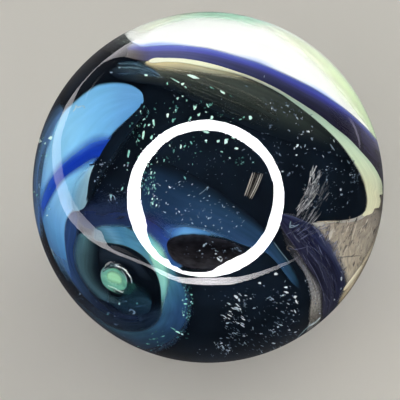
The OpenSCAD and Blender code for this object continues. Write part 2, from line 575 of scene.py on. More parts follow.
lay("ivory_cane",
    [(-4.35, 8.98), (-4.0, 9.17), (-3, 9.23), (-2, 9.2), (-1, 9.08), (0, 8.87), (1, 8.6), (2, 8.27),
     (3, 7.93), (4, 7.5), (5, 7.0), (6, 6.4), (7, 5.77), (8, 5.1), (9, 4.3), (10, 3.5), (11, 2.45),
     (11.8, 1.5), (12.2, 0.8), (12.42, 0.1), (12.44, -0.35), (12.22, -0.6), (12.3, -1.0), (12.2, -1.38),
     (11.9, -1.42), (11.75, -1.75), (11.4, -1.97)],
    [(-4.35, 8.98), (-4.1, 8.88), (-3, 8.92), (-2, 8.88), (-1, 8.72), (0, 8.5), (1, 8.3), (2, 8.05),
     (3, 7.72), (4, 7.28), (5, 6.75), (6, 6.05), (7, 5.3), (8, 4.45), (9, 3.48), (9.7, 2.62), (10.25, 1.78),
     (10.7, 1.0), (11.02, 0.3), (11.2, -0.4), (11.25, -1.0), (11.15, -1.6), (10.9, -1.98), (11.4, -1.97)],
    0.907, 0.05, "ivory_glass", rows=240, soft=(0.04, 0.12), ends=(0.012, 0),
    across=[(0.0, "#f0f2d2"), (0.2, "#d6dcb4"), (0.45, "#e4e8c6"), (0.7, "#ccd8b4"), (1.0, "#c6d6b8")],
    along=[(0.0, "#f4eec4"), (0.05, "#fbfbe4"), (0.2, "#eeeecd"), (0.3, "#a9aa92"), (0.37, "#7d827c"),
           (0.46, "#7c918a"), (0.54, "#86a398"), (0.62, "#9cb8a6"), (0.7, "#b4ccb4"), (0.78, "#c6d6b8"),
           (0.88, "#d2d2b0"), (1.0, "#d8d2b4")], share=0.78, slant=0.05, streak=0.09, pitch=0.22, pull=6.0)

lay("violet_dusk",
    [(8.0, 6.6), (9.5, 5.75), (10.6, 4.9), (11.4, 4.0), (12.1, 3.1), (12.5, 1.4)],
    [(8.0, 6.6), (9.0, 4.6), (10.0, 3.45), (11.0, 2.3), (11.9, 1.3), (12.5, 1.4)],
    0.9042, 0.02, "dusk_violet_glass", soft=(0.3, 0.1), ends=(0.5, 0), body=0.9,
    across=[(0.0, "#4a4a68"), (0.4, "#34334a"), (1.0, "#2c2a38")], streak=0.2)

# The ivory drawn out over the dark, and the olive smoke below it
lay("ivory_wash",
    [(-4.6, 8.9), (-4, 9.1), (-3, 9.12), (-2, 9.08), (-1, 8.95), (0, 8.75), (1, 8.5), (2, 8.2), (3, 7.85),
     (4, 7.4), (5, 6.85)],
    [(-4.6, 8.9), (-4.5, 8.6), (-3.9, 8.25), (-3, 8.05), (-2, 7.95), (-1, 7.85), (0, 7.7), (1, 7.5),
     (2, 7.35), (3, 7.2), (4, 7.0), (5, 6.85)],
    0.893, 0.1, "drawn_ivory_glass", soft=(0, 0.75), ragged=0.15, ends=(0.05, 0.55),
    across=[(0.0, "#f1e8bd"), (0.3, "#d4cba6"), (0.5, "#a19f88"), (0.75, "#74766a"), (1.0, "#565a52")],
    along=[(0.0, "#e8dcb4"), (0.12, "#f0dca6"), (0.25, "#d9cca2"), (0.45, "#a5a48c"), (0.65, "#6c7062"),
           (1.0, "#4d524a")], share=0.55, streak=0.22, pitch=0.16, pull=4.0, wave=0.15)

lay("olive_veil",
    [(-7.2, 8.3), (-6.0, 8.8), (-4.8, 9.05), (-3, 9.0), (-1, 8.8), (0, 8.6), (2, 8.1), (4, 7.4), (6, 6.3),
     (8, 4.8), (9.2, 3.5), (10.2, 2.1)],
    [(-7.2, 8.3), (-6.4, 7.7), (-5.2, 7.45), (-4.2, 7.35), (-3, 7.05), (-2, 6.6), (-1, 6.1), (0.5, 5.4),
     (2, 4.6), (4, 3.8), (6, 3.2), (8, 2.6), (9.4, 2.2), (10.2, 2.1)],
    0.868, 0.1, "olive_smoke_glass", rows=160, sink=(0.12, 0.6), sink_ends=(0.12, 0.3),
    across=[(0.0, "#626a62"), (0.15, "#4c5550"), (0.3, "#3f4642"), (0.5, "#363d39"), (0.75, "#252d2e"),
            (1.0, "#182026")],
    along=[(0.0, "#2a3a52"), (0.1, "#32465a"), (0.15, "#4a5c68"), (0.2, "#6c7068"), (0.28, "#545a52"),
           (0.43, "#363c38"), (0.65, "#242a28"), (1.0, "#141b1c")], share=0.55, streak=0.2, pitch=0.2,
    pull=6.0, wave=0.1)

# The blue fan at the left, the cobalt stripe in it and the dark glass at its edges
lay("blue_cane",
    [(-4.57, 6.35), (-4.7, 6.75), (-5.05, 7.1), (-5.5, 7.35), (-6, 7.48), (-6.6, 7.53), (-7.3, 7.48),
     (-7.9, 7.35), (-8.4, 7.05), (-8.9, 6.7), (-9.5, 6.2), (-10.2, 5.6), (-10.8, 4.9), (-11.2, 4.0),
     (-11.5, 3.0), (-11.75, 1.8), (-11.9, 0.6), (-12.0, -0.4), (-11.95, -1.4), (-11.8, -2.4),
     (-11.55, -3.4), (-11.2, -4.5), (-10.75, -5.5), (-10.2, -6.4), (-9.5, -7.3)],
    [(-4.57, 6.35), (-4.6, 6.05), (-4.85, 5.7), (-5.3, 5.2), (-6, 4.5), (-6.6, 3.9), (-7, 3.4), (-7.4, 2.8),
     (-7.8, 2.05), (-8.15, 1.45), (-8.4, 0.7), (-8.5, 0.1), (-8.58, -0.5), (-8.75, -1.05), (-9.2, -1.52),
     (-9.65, -1.85), (-9.98, -2.35), (-10.12, -3), (-10.12, -4), (-10.0, -5), (-9.8, -6), (-9.6, -6.8),
     (-9.5, -7.3)],
    0.885, 0.3, "sky_blue_glass", rows=180, sink=(0.08, 0), soft=(0, 0.06), ends=(0.02, 0.3),
    across=[(0.0, "#5a90c0"), (0.1, "#74b0da"), (0.35, "#7cb8e0"), (0.7, "#74b4e0"), (1.0, "#6ba9da")],
    along=[(0.0, "#5186bc"), (0.1, "#5a92c6"), (0.22, "#70b2de"), (0.36, "#8acaec"), (0.45, "#88c6e6"),
           (0.55, "#84b4d8"), (0.64, "#5c8ebe"), (0.72, "#3c70a2"), (0.86, "#4270a8"), (1.0, "#2a4478")],
    share=0.7, slant=-0.05, streak=0.07, pitch=0.5)

lay("cobalt_cane",
    [(-6.5, 3.25), (-6.9, 3.85), (-7.7, 4.05), (-8.6, 3.75), (-9.5, 3.1), (-10.3, 2.35), (-11.0, 1.55),
     (-11.6, 0.5), (-12.05, -0.6), (-12.2, -1.7), (-12.0, -3.1)],
    [(-6.5, 3.25), (-6.9, 2.3), (-7.5, 1.75), (-8.3, 1.45), (-9.1, 1.05), (-9.8, 0.6), (-10.4, 0.05),
     (-10.9, -0.6), (-11.3, -1.4), (-11.6, -2.2), (-12.0, -3.1)],
    0.905, 0.05, "cobalt_glass", soft=(0.55, 0.3), ends=(0.0, 0.35), ragged=0.05,
    across=[(0.0, "#3a7cd4"), (0.28, "#2a60cc"), (0.45, "#1438a4"), (0.62, "#0c2890"), (0.8, "#163a98"),
            (1.0, "#2c66c0")],
    along=[(0.0, "#182c62"), (0.12, "#1a3aa0"), (0.35, "#1234a4"), (0.6, "#2450b0"), (0.8, "#3564b8"),
           (1.0, "#2a5aa4")], share=0.45, streak=0.14, pitch=0.2, pull=2.0, wave=0.1)

lay("pale_fan",
    [(-7.8, 1.85), (-8.7, 1.5), (-9.4, 1.05), (-10.0, 0.4), (-10.25, -0.4), (-10.2, -1.1), (-9.95, -1.65),
     (-9.2, -1.7)],
    [(-7.8, 1.85), (-8.0, 1.3), (-8.2, 0.6), (-8.3, 0), (-8.4, -0.5), (-8.6, -1.0), (-8.8, -1.4),
     (-9.2, -1.7)],
    0.9, 0.04, "grey_cyan_glass", soft=(0.75, 0.0), ends=(0.02, 0.15), ragged=0.08,
    across=[(0.0, "#76b4dc"), (0.35, "#7cbcdc"), (0.6, "#80a8b8"), (0.85, "#90aab0"), (1.0, "#7f9698")],
    along=[(0.0, "#b4d4dc"), (0.2, "#b0ccd4"), (0.45, "#74a4c0"), (0.8, "#4c7694"), (1.0, "#6e94a8")],
    share=0.45, streak=0.1, wave=0.2)

lay("black_lip",
    [(-4.75, 6.0), (-4.95, 5.6), (-5.4, 5.12), (-6.08, 4.42), (-6.68, 3.82), (-7.08, 3.32), (-7.48, 2.72),
     (-7.88, 1.97), (-8.23, 1.37), (-8.46, 0.65), (-8.56, 0.08), (-8.62, -0.5), (-8.75, -1.05)],
    [(-4.75, 6.0), (-4.1, 5.6), (-4.4, 4.7), (-4.9, 3.9), (-5.5, 3.1), (-6.1, 2.3), (-6.7, 1.5),
     (-7.1, 0.9), (-7.5, 0.2), (-7.8, -0.4), (-8.1, -0.9), (-8.75, -1.05)],
    0.912, 0.05, "black_lip_glass", soft=(0.03, 0.45), ends=(0, 0.06),
    across=[(0.0, "#10161f"), (0.5, "#0f1720"), (1.0, "#101822")])

lay("slate_edge",
    [(-10.2, 5.9), (-11.4, 6.7), (-13.0, 5.9), (-14.0, 4.0), (-14.4, 1.5), (-14.4, -0.5), (-14.0, -2.6),
     (-13.2, -4.2), (-11.9, -4.2)],
    [(-10.2, 5.9), (-10.3, 5.0), (-10.7, 4.0), (-10.95, 3.0), (-11.2, 2.0), (-11.45, 0.8), (-11.6, -0.6),
     (-11.65, -2.0), (-11.65, -3.2), (-11.9, -4.2)],
    0.893, 0.08, "slate_blue_glass", sink=(0.5, 0), soft=(0, 0.35), ends=(0.1, 0.15), body=0.93, ragged=0.1,
    across=[(0.0, "#141d28"), (0.4, "#24364a"), (0.58, "#3c5874"), (0.76, "#5478a4"), (1.0, "#5c90c0")],
    streak=0.4, pitch=0.12, pull=2.0)

lay("rim_navy",
    [(-12.2, -2.6), (-12.5, -4.6), (-11.6, -6.9), (-10.1, -9.0), (-8.1, -10.8), (-5.6, -12.3),
     (-2.6, -12.7)],
    [(-12.2, -2.6), (-11.3, -4.4), (-10.55, -5.9), (-9.5, -7.5), (-8.1, -9.0), (-6.2, -10.4),
     (-2.6, -12.7)],
    0.905, 0.04, "deep_navy_glass", soft=(0.0, 0.6), ends=(0.15, 0.3), body=0.97,
    across=[(0.0, "#0a0f1c"), (0.5, "#101a2c"), (1.0, "#1a2a44")], streak=0.3, pitch=0.15)

# The coils round the pontil mark
lay("navy_field",
    [(-9.3, -1.2), (-8.8, -0.2), (-7.8, 0.4), (-6.6, 0.3), (-5.3, -0.2), (-4.6, -1.6)],
    [(-9.3, -1.2), (-9.4, -2.2), (-8.8, -3.2), (-7.8, -3.6), (-6.4, -3.4), (-5.2, -2.9), (-4.6, -1.6)],
    0.86, 0.06, "navy_glass", soft=(0.55, 0.15), ends=(0.12, 0.2), body=0.9,
    across=[(0.0, "#141d30"), (0.35, "#1b2740"), (0.65, "#232e50"), (1.0, "#263a5c")], streak=0.12,
    pull=0.8)

lay("teal_cane",
    [(-8.6, -3.3), (-8.1, -2.8), (-7.5, -2.55), (-6.8, -2.5), (-6.1, -2.5), (-5.4, -2.75), (-4.8, -3.05),
     (-4.2, -3.3), (-3.6, -3.65), (-3.0, -4.3), (-2.6, -5.2), (-2.0, -6.0), (-1.45, -6.8), (-1.1, -7.6),
     (-0.95, -8.4), (-1.0, -9.2), (-1.3, -10.0), (-2.0, -10.9), (-3.2, -11.6), (-4.8, -11.8), (-6.2, -11.4),
     (-7.8, -10.4), (-9.2, -9.0), (-10.3, -7.4)],
    [(-8.6, -3.3), (-8.2, -3.7), (-7.5, -3.98), (-6.8, -4.08), (-6.0, -4.2), (-5.3, -4.5), (-4.6, -5.0),
     (-4.0, -5.7), (-3.65, -6.4), (-3.45, -7.1), (-3.38, -7.8), (-3.4, -8.4), (-3.55, -9.1), (-3.9, -9.6),
     (-4.6, -10.0), (-5.6, -10.1), (-6.8, -9.8), (-8.0, -9.1), (-9.2, -8.0), (-10.3, -7.4)],
    0.885, 0.3, "teal_glass", rows=180, soft=(0.28, 0.12), ends=(0.05, 0.15),
    across=[(0.0, "#0f1d30"), (0.2, "#16304a"), (0.5, "#22445e"), (0.68, "#30586c"), (0.84, "#3c6a76"),
            (1.0, "#2c5262")],
    along=[(0.0, "#3a5c66"), (0.03, "#4a7484"), (0.06, "#6494b2"), (0.09, "#427898"), (0.15, "#4e839b"),
           (0.21, "#62989c"), (0.265, "#4a808a"), (0.31, "#36607a"), (0.35, "#2f5476"), (0.39, "#284268"),
           (0.44, "#263e62"), (0.5, "#23344e"), (0.575, "#1f2e44"), (0.66, "#1c273a"), (0.81, "#1e2838"),
           (1.0, "#222b3a")], share=0.72, slant=-0.07, streak=0.16, pitch=0.3, pull=1.6, wave=0.1)

lay("sea_green_cane",
    [(-4.7, -3.2), (-4.1, -3.2), (-3.5, -3.6), (-3.05, -4.2), (-2.75, -4.9), (-2.6, -5.6), (-2.6, -6.4),
     (-2.75, -7.2), (-3.0, -8.1), (-3.3, -9.3)],
    [(-4.7, -3.2), (-4.7, -4.2), (-4.25, -4.9), (-3.95, -5.6), (-3.65, -6.3), (-3.45, -7.0), (-3.36, -7.8),
     (-3.34, -8.5), (-3.3, -9.3)],
    0.9, 0.05, "sea_green_glass", soft=(0.5, 0.12), ends=(0.1, 0.45),
    across=[(0.0, "#5a96aa"), (0.4, "#84c0b4"), (0.65, "#94ccb8"), (1.0, "#6cacaa")],
    along=[(0.0, "#4a84a0"), (0.15, "#5892a8"), (0.27, "#9ad4be"), (0.38, "#84bcac"), (0.5, "#74aca4"),
           (0.65, "#68a0a2"), (1.0, "#3e7288")], share=0.7, streak=0.14, pitch=0.2)

lay("green_crescent",
    [(-8.5, -3.1), (-9.2, -3.35), (-9.6, -4.3), (-9.68, -5.3), (-9.5, -6.2), (-9.05, -6.9), (-8.35, -7.55),
     (-7.4, -8.05), (-6.5, -8.3), (-5.6, -8.1)],
    [(-8.5, -3.2), (-7.9, -3.9), (-7.75, -5.0), (-7.8, -5.8), (-7.6, -6.5), (-7.2, -7.1), (-6.7, -7.5),
     (-6.1, -7.8), (-5.6, -8.1)],
    0.868, 0.08, "bottle_green_glass", sink=(0, 0.6), ends=(0.12, 0.3),
    across=[(0.0, "#3a5e70"), (0.25, "#44646e"), (0.5, "#3c545a"), (0.8, "#262f36"), (1.0, "#181e26")],
    along=[(0.0, "#5d8488"), (0.15, "#4a6e74"), (0.3, "#3b565e"), (0.6, "#2e454e"), (1.0, "#1e2f3e")],
    share=0.5, streak=0.2, wave=0.12)

lay("navy_cane",
    [(-9.4, -1.2), (-10.5, -1.7), (-10.8, -3.6), (-10.65, -5), (-10.2, -6), (-9.6, -7), (-8.7, -8.1),
     (-7.6, -9), (-6.4, -9.6), (-5.2, -9.7), (-4.2, -9.4), (-3.6, -8.8)],
    [(-9.4, -1.2), (-9.0, -2.1), (-8.9, -3.3), (-9.2, -4.6), (-9.05, -5.8), (-8.55, -6.7), (-7.95, -7.4),
     (-7.2, -8.1), (-6.3, -8.6), (-5.2, -8.9), (-4.3, -8.9), (-3.6, -8.8)],
    0.874, 0.08, "ink_blue_glass", soft=(0.22, 0.3), ends=(0.08, 0.15), body=0.95,
    across=[(0.0, "#2a4674"), (0.3, "#22345c"), (0.6, "#1f2c50"), (1.0, "#1e2a44")],
    along=[(0.0, "#2a4066"), (0.35, "#263c66"), (0.45, "#2a4062"), (0.52, "#26384f"), (0.59, "#17212e"),
           (0.7, "#121a26"), (0.85, "#151f2c"), (1.0, "#202e42")], share=0.85, streak=0.3, pitch=0.18,
    pull=4.0)

lay("low_navy",
    [(-9.6, -7.2), (-8.9, -7.6), (-7.6, -8.4), (-6.2, -8.6), (-4.8, -8.4), (-3.6, -7.9), (-2.6, -8.8),
     (-1.4, -10.0)],
    [(-9.6, -7.2), (-9.0, -8.8), (-7.6, -10.2), (-6.0, -11.2), (-4.4, -11.8), (-3.0, -11.7), (-2.0, -11.0),
     (-1.4, -10.0)],
    0.86, 0.06, "dusk_navy_glass", soft=(0.3, 0.2), ends=(0.2, 0.2), body=0.9,
    across=[(0.0, "#1c2a3c"), (0.5, "#1d2a3e"), (1.0, "#20283a")],
    along=[(0.0, "#1a2636"), (0.6, "#1c2a3c"), (0.8, "#26384f"), (1.0, "#24344c")], share=0.6, streak=0.3,
    pitch=0.2, pull=4.0)

lay("pontil_haze",
    [(-7.9, -6.9), (-7.2, -7.3), (-6.3, -7.6), (-5.7, -7.0), (-5.1, -6.5), (-4.4, -6.8), (-4.0, -7.5),
     (-4.05, -8.4)],
    [(-7.9, -6.9), (-7.6, -7.9), (-6.8, -8.5), (-6.0, -9.0), (-5.2, -9.25), (-4.5, -9.1), (-4.15, -8.8),
     (-4.05, -8.4)],
    0.862, 0.06, "haze_blue_glass", soft=(0.5, 0.1), ends=(0.25, 0.1), body=0.9,
    across=[(0.0, "#1c3640"), (0.5, "#1a3040"), (1.0, "#1a2c42")], streak=0.18)

lay("coil_smoke",
    [(-8.3, -4.2), (-7.0, -4.3), (-5.8, -4.7), (-4.8, -5.4), (-4.0, -6.6)],
    [(-8.3, -4.2), (-8.1, -5.2), (-7.4, -5.5), (-6.4, -5.4), (-5.5, -5.7), (-4.9, -6.4), (-4.0, -6.6)],
    0.858, 0.05, "coil_smoke_glass", sink=(0.3, 0.4), sink_ends=(0.3, 0.4),
    across=[(0.0, "#1d2530"), (0.5, "#1e2631"), (1.0, "#181f2a")], streak=0.3, pitch=0.15, pull=2.0)

# The dusky blues across the middle, and the brown-black pool between them
lay("navy_wisp",
    [(-5.2, 0.2), (-4.6, 1.4), (-3.5, 1.8), (-2.3, 1.5), (-1.2, 0.95), (-0.3, 0.45), (0.4, 0.0),
     (1.3, -0.65), (2.3, -1.42), (3.3, -2.25), (4.1, -3.02), (4.75, -3.83), (5.35, -4.63), (5.9, -5.48),
     (6.35, -6.28), (6.65, -7.3)],
    [(-5.2, 0.2), (-4.8, -1.6), (-4.0, -2.9), (-3.1, -3.5), (-2.4, -3.42), (-1.6, -3.25), (-0.8, -3.22),
     (0.1, -3.35), (1, -3.6), (2, -3.95), (3, -4.3), (4.0, -4.6), (4.7, -5.2), (5.4, -6.1), (6.05, -6.9),
     (6.65, -7.3)],
    0.866, 0.1, "dusk_blue_glass", rows=160, sink=(0.35, 0), soft=(0, 0.05), ends=(0.12, 0),
    sink_ends=(0, 0.12), ragged=0.05,
    across=[(0.0, "#142236"), (0.3, "#1c3048"), (0.6, "#233a58"), (0.85, "#2a4466"), (1.0, "#2f4c74")],
    along=[(0.0, "#131f34"), (0.25, "#1b2e46"), (0.4, "#223a54"), (0.7, "#243d58"), (0.85, "#254156"),
           (1.0, "#25475e")], share=0.6, streak=0.2, pitch=0.35, pull=4.0)

lay("royal_patch",
    [(-5.0, -1.9), (-4.2, -1.4), (-3.4, -1.5), (-2.7, -1.9), (-2.0, -2.5), (-1.2, -3.2)],
    [(-5.0, -1.9), (-4.8, -3.0), (-4.3, -4.0), (-3.7, -4.9), (-3.0, -5.6), (-2.3, -5.9), (-1.2, -3.2)],
    0.888, 0.05, "royal_blue_glass", soft=(0.5, 0.06), ends=(0.25, 0.05),
    across=[(0.0, "#202c4e"), (0.3, "#263362"), (0.5, "#2a4180"), (0.7, "#345a84"), (1.0, "#3c6c84")],
    along=[(0.0, "#302c4c"), (0.3, "#27284e"), (0.45, "#26386e"), (0.58, "#2a4890"), (0.7, "#2b4c80"),
           (1.0, "#345878")], share=0.62, streak=0.18, wave=0.1)


lay("pale_streak",
    [(-3.4, -2.9), (-2.8, -2.4), (-2.0, -2.35), (-1, -2.6), (0, -2.9), (1, -3.2), (2, -3.7)],
    [(-3.4, -2.9), (-3.0, -3.6), (-2.4, -3.75), (-1.4, -3.5), (-0.6, -3.4), (0.4, -3.5), (2, -3.7)],
    0.892, 0.04, "pale_blue_glass", soft=(0.6, 0.05), ends=(0.35, 0.6),
    across=[(0.0, "#2c4c78"), (0.4, "#4878ac"), (0.7, "#568cba"), (1.0, "#3f6c9a")],
    along=[(0.0, "#28488c"), (0.2, "#2e54a0"), (0.36, "#68a0d0"), (0.6, "#5890c0"), (1.0, "#4070a0")],
    share=0.5, streak=0.12)

lay("brown_pool",
    [(-2.95, -4.1), (-2.85, -3.75), (-2.5, -3.5), (-1.9, -3.3), (-1.2, -3.22), (-0.4, -3.25), (0.4, -3.4),
     (1.2, -3.65), (1.9, -3.9), (2.4, -4.2), (2.6, -4.6)],
    [(-2.95, -4.1), (-2.85, -4.6), (-2.5, -5.2), (-2, -5.6), (-1.2, -5.9), (-0.2, -6.0), (0.8, -5.85),
     (1.7, -5.4), (2.3, -5.0), (2.6, -4.6)],
    0.9, 0.06, "brown_black_glass", soft=(0.08, 0.1), ragged=0.03,
    across=[(0.0, "#2a2c33"), (0.12, "#1c1d22"), (0.3, "#0d0d11"), (0.55, "#171619"), (0.8, "#252427"),
            (0.92, "#2d2c31"), (1.0, "#202027")], streak=0.5, pitch=0.18, pull=0.5, wave=0.12)

# The indigo curtain at the right, and the clear and smoky glass in the gap behind it
lay("indigo_curtain",
    [(4.9, -1.9), (5.8, -1.8), (6.7, -2.0), (7.4, -2.3), (7.95, -2.7), (8.45, -3.3), (9.05, -3.95),
     (9.55, -4.8), (9.9, -5.65), (10.02, -6.4), (10.0, -7.0), (9.85, -7.6), (9.75, -8.2), (9.65, -9.0),
     (9.3, -10.2)],
    [(4.9, -1.9), (5.15, -2.9), (5.7, -3.95), (6.3, -4.85), (6.95, -5.75), (7.48, -6.55), (7.88, -7.4),
     (8.03, -8.25), (7.97, -9.05), (8.2, -9.9), (9.3, -10.2)],
    0.86, 0.15, "indigo_glass", rows=160, soft=(0.2, 0.1), ragged=0.1,
    across=[(0.0, "#7c828a"), (0.08, "#62687a"), (0.16, "#424962"), (0.26, "#262b46"), (0.36, "#191c33"),
            (0.46, "#262a3e"), (0.56, "#15172a"), (0.66, "#2f3142"), (0.76, "#1c1d2e"), (0.86, "#32323f"),
            (1.0, "#25262f")],
    along=[(0.0, "#131130"), (0.25, "#161836"), (0.5, "#202334"), (1.0, "#232434")], share=0.3, streak=0.45,
    pitch=0.12, pull=4.0, wave=0.14)

lay("clear_veil",
    [(9.2, -10.3), (8.8, -8.3), (8.5, -6.0), (8.0, -4.2), (7.8, -2.95), (8.6, -2.55), (9.8, -2.5),
     (11.0, -2.2), (11.6, -1.65), (12.0, -1.1), (12.35, -0.4)],
    [(9.2, -10.3), (10.7, -8.3), (12.0, -6.0), (12.9, -4.2), (13.1, -3.0), (13.0, -2.1), (12.8, -1.1),
     (12.35, -0.4)],
    0.835, 0.05, "drawn_clear_glass", ends=(0.05, 0.0), body=0.72,
    across=[(0.0, "#9c8f84"), (0.3, "#887d70"), (0.6, "#8a7f70"), (0.85, "#a3967f"), (1.0, "#a89c84")],
    along=[(0.0, "#fff0d2"), (0.3, "#f2e4c6"), (0.45, "#d2c4aa"), (0.6, "#a89c8a"), (0.8, "#7c7367"),
           (1.0, "#857a6c")], share=0.6, streak=0.3, pitch=0.14, pull=0.5, wave=0.1)

# Beige smoky glass along the rim; the lighter stretch towards its lower end is a painted highlight
lay("rim_cream",
    [(12.5, -0.9), (12.15, -2.4), (11.75, -3.6), (11.2, -4.6), (10.5, -5.7), (9.8, -6.7), (9.4, -7.5),
     (9.2, -8.9)],
    [(12.5, -0.9), (12.9, -2.6), (12.6, -4.2), (12.0, -5.6), (11.2, -6.9), (10.4, -8.0), (9.9, -8.6),
     (9.2, -8.9)],
    0.9, 0.05, "beige_smoke_glass_painted_highlight", rows=80, soft=(0.35, 0.0), ends=(0.1, 0.15), body=0.95,
    across=[(0.0, "#a3957f"), (0.3, "#aa9d86"), (0.6, "#a89a84"), (1.0, "#9a8e7c")],
    along=[(0.0, "#877c6e"), (0.4, "#b0a48c"), (0.7, "#dccfb2"), (1.0, "#c0b296")], share=0.5, streak=0.2,
    pitch=0.2, pull=1.0)

lay("speckled_sliver",
    [(5.2, -2.9), (6.4, -3.8), (7.2, -4.7), (7.8, -5.6), (8.3, -6.5), (8.6, -7.5), (8.65, -8.5),
     (8.4, -9.3), (7.7, -10.0)],
    [(5.2, -2.9), (5.5, -4.2), (6.1, -5.2), (6.7, -6.0), (7.1, -7.0), (7.25, -8.0), (7.15, -8.8),
     (7.1, -9.5), (7.7, -10.0)],
    0.83, 0.05, "seedy_glass", soft=(0.0, 0.15), ends=(0.01, 0.08), body=0.97,
    across=[(0.0, "#6e6c6e"), (0.3, "#706e6e"), (0.6, "#716e6a"), (1.0, "#605e5c")],
    along=[(0.0, "#12161e"), (0.16, "#181c26"), (0.22, "#5e6066"), (0.3, "#74767a"), (0.42, "#868688"),
           (0.58, "#8e8b86"), (0.72, "#68655e"), (1.0, "#565450")], share=0.88, streak=0.5, pitch=0.1,
    pull=0.2)

# The bead of green glass that the rod left under the pontil mark, and its glow in the dark beside it
lay("pontil_bead",
    [(-7.6, -6.35), (-7.45, -5.85), (-7.0, -5.6), (-6.5, -5.62), (-6.15, -5.85), (-5.9, -6.2),
     (-5.75, -6.55), (-5.68, -6.9)],
    [(-7.6, -6.35), (-7.5, -6.85), (-7.15, -7.25), (-6.7, -7.48), (-6.25, -7.52), (-5.9, -7.35),
     (-5.68, -6.9)],
    0.955, 0.2, "pontil_green_glass", rows=48, soft=(0.12, 0.14), ends=(0.08, 0.14),
    across=[(0.0, "#4c8478"), (0.2, "#5e9688"), (0.45, "#74b494"), (0.7, "#5c9484"), (1.0, "#46807a")],
    along=[(0.0, "#5a8880"), (0.3, "#649a88"), (0.5, "#70ae90"), (0.62, "#3c6058"), (0.72, "#508476"),
           (1.0, "#44766e")], share=0.5, slant=-0.25, streak=0.16, pull=0.6, wave=0.2)

lay("pontil_core",
    [(-7.3, -6.3), (-7.15, -5.9), (-6.8, -5.72), (-6.4, -5.9), (-6.15, -6.3), (-6.1, -6.8)],
    [(-7.3, -6.3), (-7.2, -6.75), (-6.9, -7.05), (-6.55, -7.15), (-6.25, -7.05), (-6.1, -6.8)],
    0.965, 0.1, "pontil_lime_glass", rows=32, around=24, soft=(0.4, 0.4), ends=(0.3, 0.3),
    across=[(0.0, "#86b898"), (0.5, "#8cbe98"), (1.0, "#72ac90")], streak=0.12, pitch=0.2)

lay("pontil_glow",
    [(-6.6, -6.9), (-6.2, -6.5), (-5.7, -6.45), (-5.2, -6.7), (-4.9, -7.1)],
    [(-6.6, -6.9), (-6.4, -7.5), (-5.9, -7.75), (-5.4, -7.65), (-4.9, -7.1)],
    0.93, 0.05, "green_haze_glass", rows=32, around=24, soft=(0.45, 0.45), ends=(0.35, 0.4), body=0.7,
    across=[(0.0, "#24544a"), (1.0, "#224a50")])

# Arms that lie at the back alone: they close in on the pole opposite the pontil mark in the same twist
lay("back_sky_cane", None, None, 0.895, 0.1, "deep_sky_blue_glass", rows=160, sink=(0.2, 0.12),
    sink_ends=(0.3, 0.1),
    back=([(76, 213), (92, 196), (104, 176), (114, 152), (124, 127), (134, 101), (144, 74), (151, 46),
           (158, 12), (164, -22), (169, -60), (173, -110)],
          [(76, 213), (84, 200), (94, 180), (101, 156), (110, 131), (121, 105), (132, 78), (141, 50),
           (149, 18), (157, -16), (165, -55), (173, -110)]),
    across=[(0.0, "#2f5c8c"), (0.2, "#5c9aca"), (0.38, "#3a70b8"), (0.48, "#163a9a"), (0.58, "#2450aa"),
            (0.72, "#68acda"), (0.9, "#80bade"), (1.0, "#5e96c4")],
    along=[(0.0, "#101c30"), (0.15, "#23456c"), (0.35, "#4a88c0"), (0.6, "#6cb0dc"), (0.85, "#3f78b4"),
           (1.0, "#1c3a70")], share=0.4, streak=0.12, pull=4.0, wave=0.12)

lay("back_teal_cane", None, None, 0.88, 0.1, "deep_teal_glass", sink=(0.2, 0.3), sink_ends=(0.3, 0.15),
    back=([(122, 168), (136, 154), (146, 132), (153, 106), (159, 76), (164, 42), (169, 0), (174, -60)],
          [(122, 168), (127, 150), (135, 128), (143, 102), (151, 72), (158, 40), (165, 0), (174, -60)]),
    across=[(0.0, "#16384a"), (0.3, "#28607a"), (0.6, "#549a9c"), (0.82, "#86c2ae"), (1.0, "#3c7a80")],
    along=[(0.0, "#12283c"), (0.3, "#2c6078"), (0.6, "#5a9e9e"), (1.0, "#2a5a70")], share=0.4, streak=0.14)

lay("back_ivory_cane", None, None, 0.9035, 0.03, "old_ivory_glass", soft=(0.1, 0), sink=(0, 0.4),
    sink_ends=(0.15, 0.1),
    back=([(131, 62), (138, 40), (143, 14), (147, -14), (151, -44), (155, -75), (160, -102), (165, -130),
           (169, -175), (171, -210)],
          [(131, 62), (141, 38), (146.5, 12), (151, -14), (155, -46), (158.5, -78), (163, -106),
           (168, -136), (171.5, -175), (171, -210)]),
    across=[(0.0, "#e4e4bc"), (0.4, "#c4caa2"), (0.7, "#7c8470"), (1.0, "#3a423c")], streak=0.12)

lay("back_dusk_wisp", None, None, 0.866, 0.1, "twilight_blue_glass", rows=100, sink=(0.5, 0.5),
    sink_ends=(0.3, 0.3),
    back=([(96, 130), (110, 112), (122, 92), (131, 70), (138, 44), (141, 24)],
          [(96, 130), (100, 108), (108, 90), (118, 74), (129, 52), (141, 24)]),
    across=[(0.0, "#142236"), (0.3, "#203a58"), (0.6, "#28486a"), (1.0, "#182840")], streak=0.25, pull=4.0,
    wave=0.15)

lay("back_navy_wisp", None, None, 0.868, 0.1, "midnight_blue_glass", rows=100, sink=(0.5, 0.4),
    sink_ends=(0.3, 0.3),
    back=([(70, 182), (82, 166), (92, 148), (100, 128)],
          [(70, 182), (70, 160), (78, 142), (88, 126), (100, 128)]),
    across=[(0.0, "#142640"), (0.4, "#1e3c5e"), (0.7, "#1c3850"), (1.0, "#14243a")], streak=0.25, wave=0.15)


# ---------------------------------------------------------------- drawn threads and scratches
THREAD_ROWS, THREAD_ROUND = 18, 8
THREAD_TAPER = 4                  # as CANE_TAPER, for its width
THREAD_FLAT = 0.8                 # its thickness, in widths


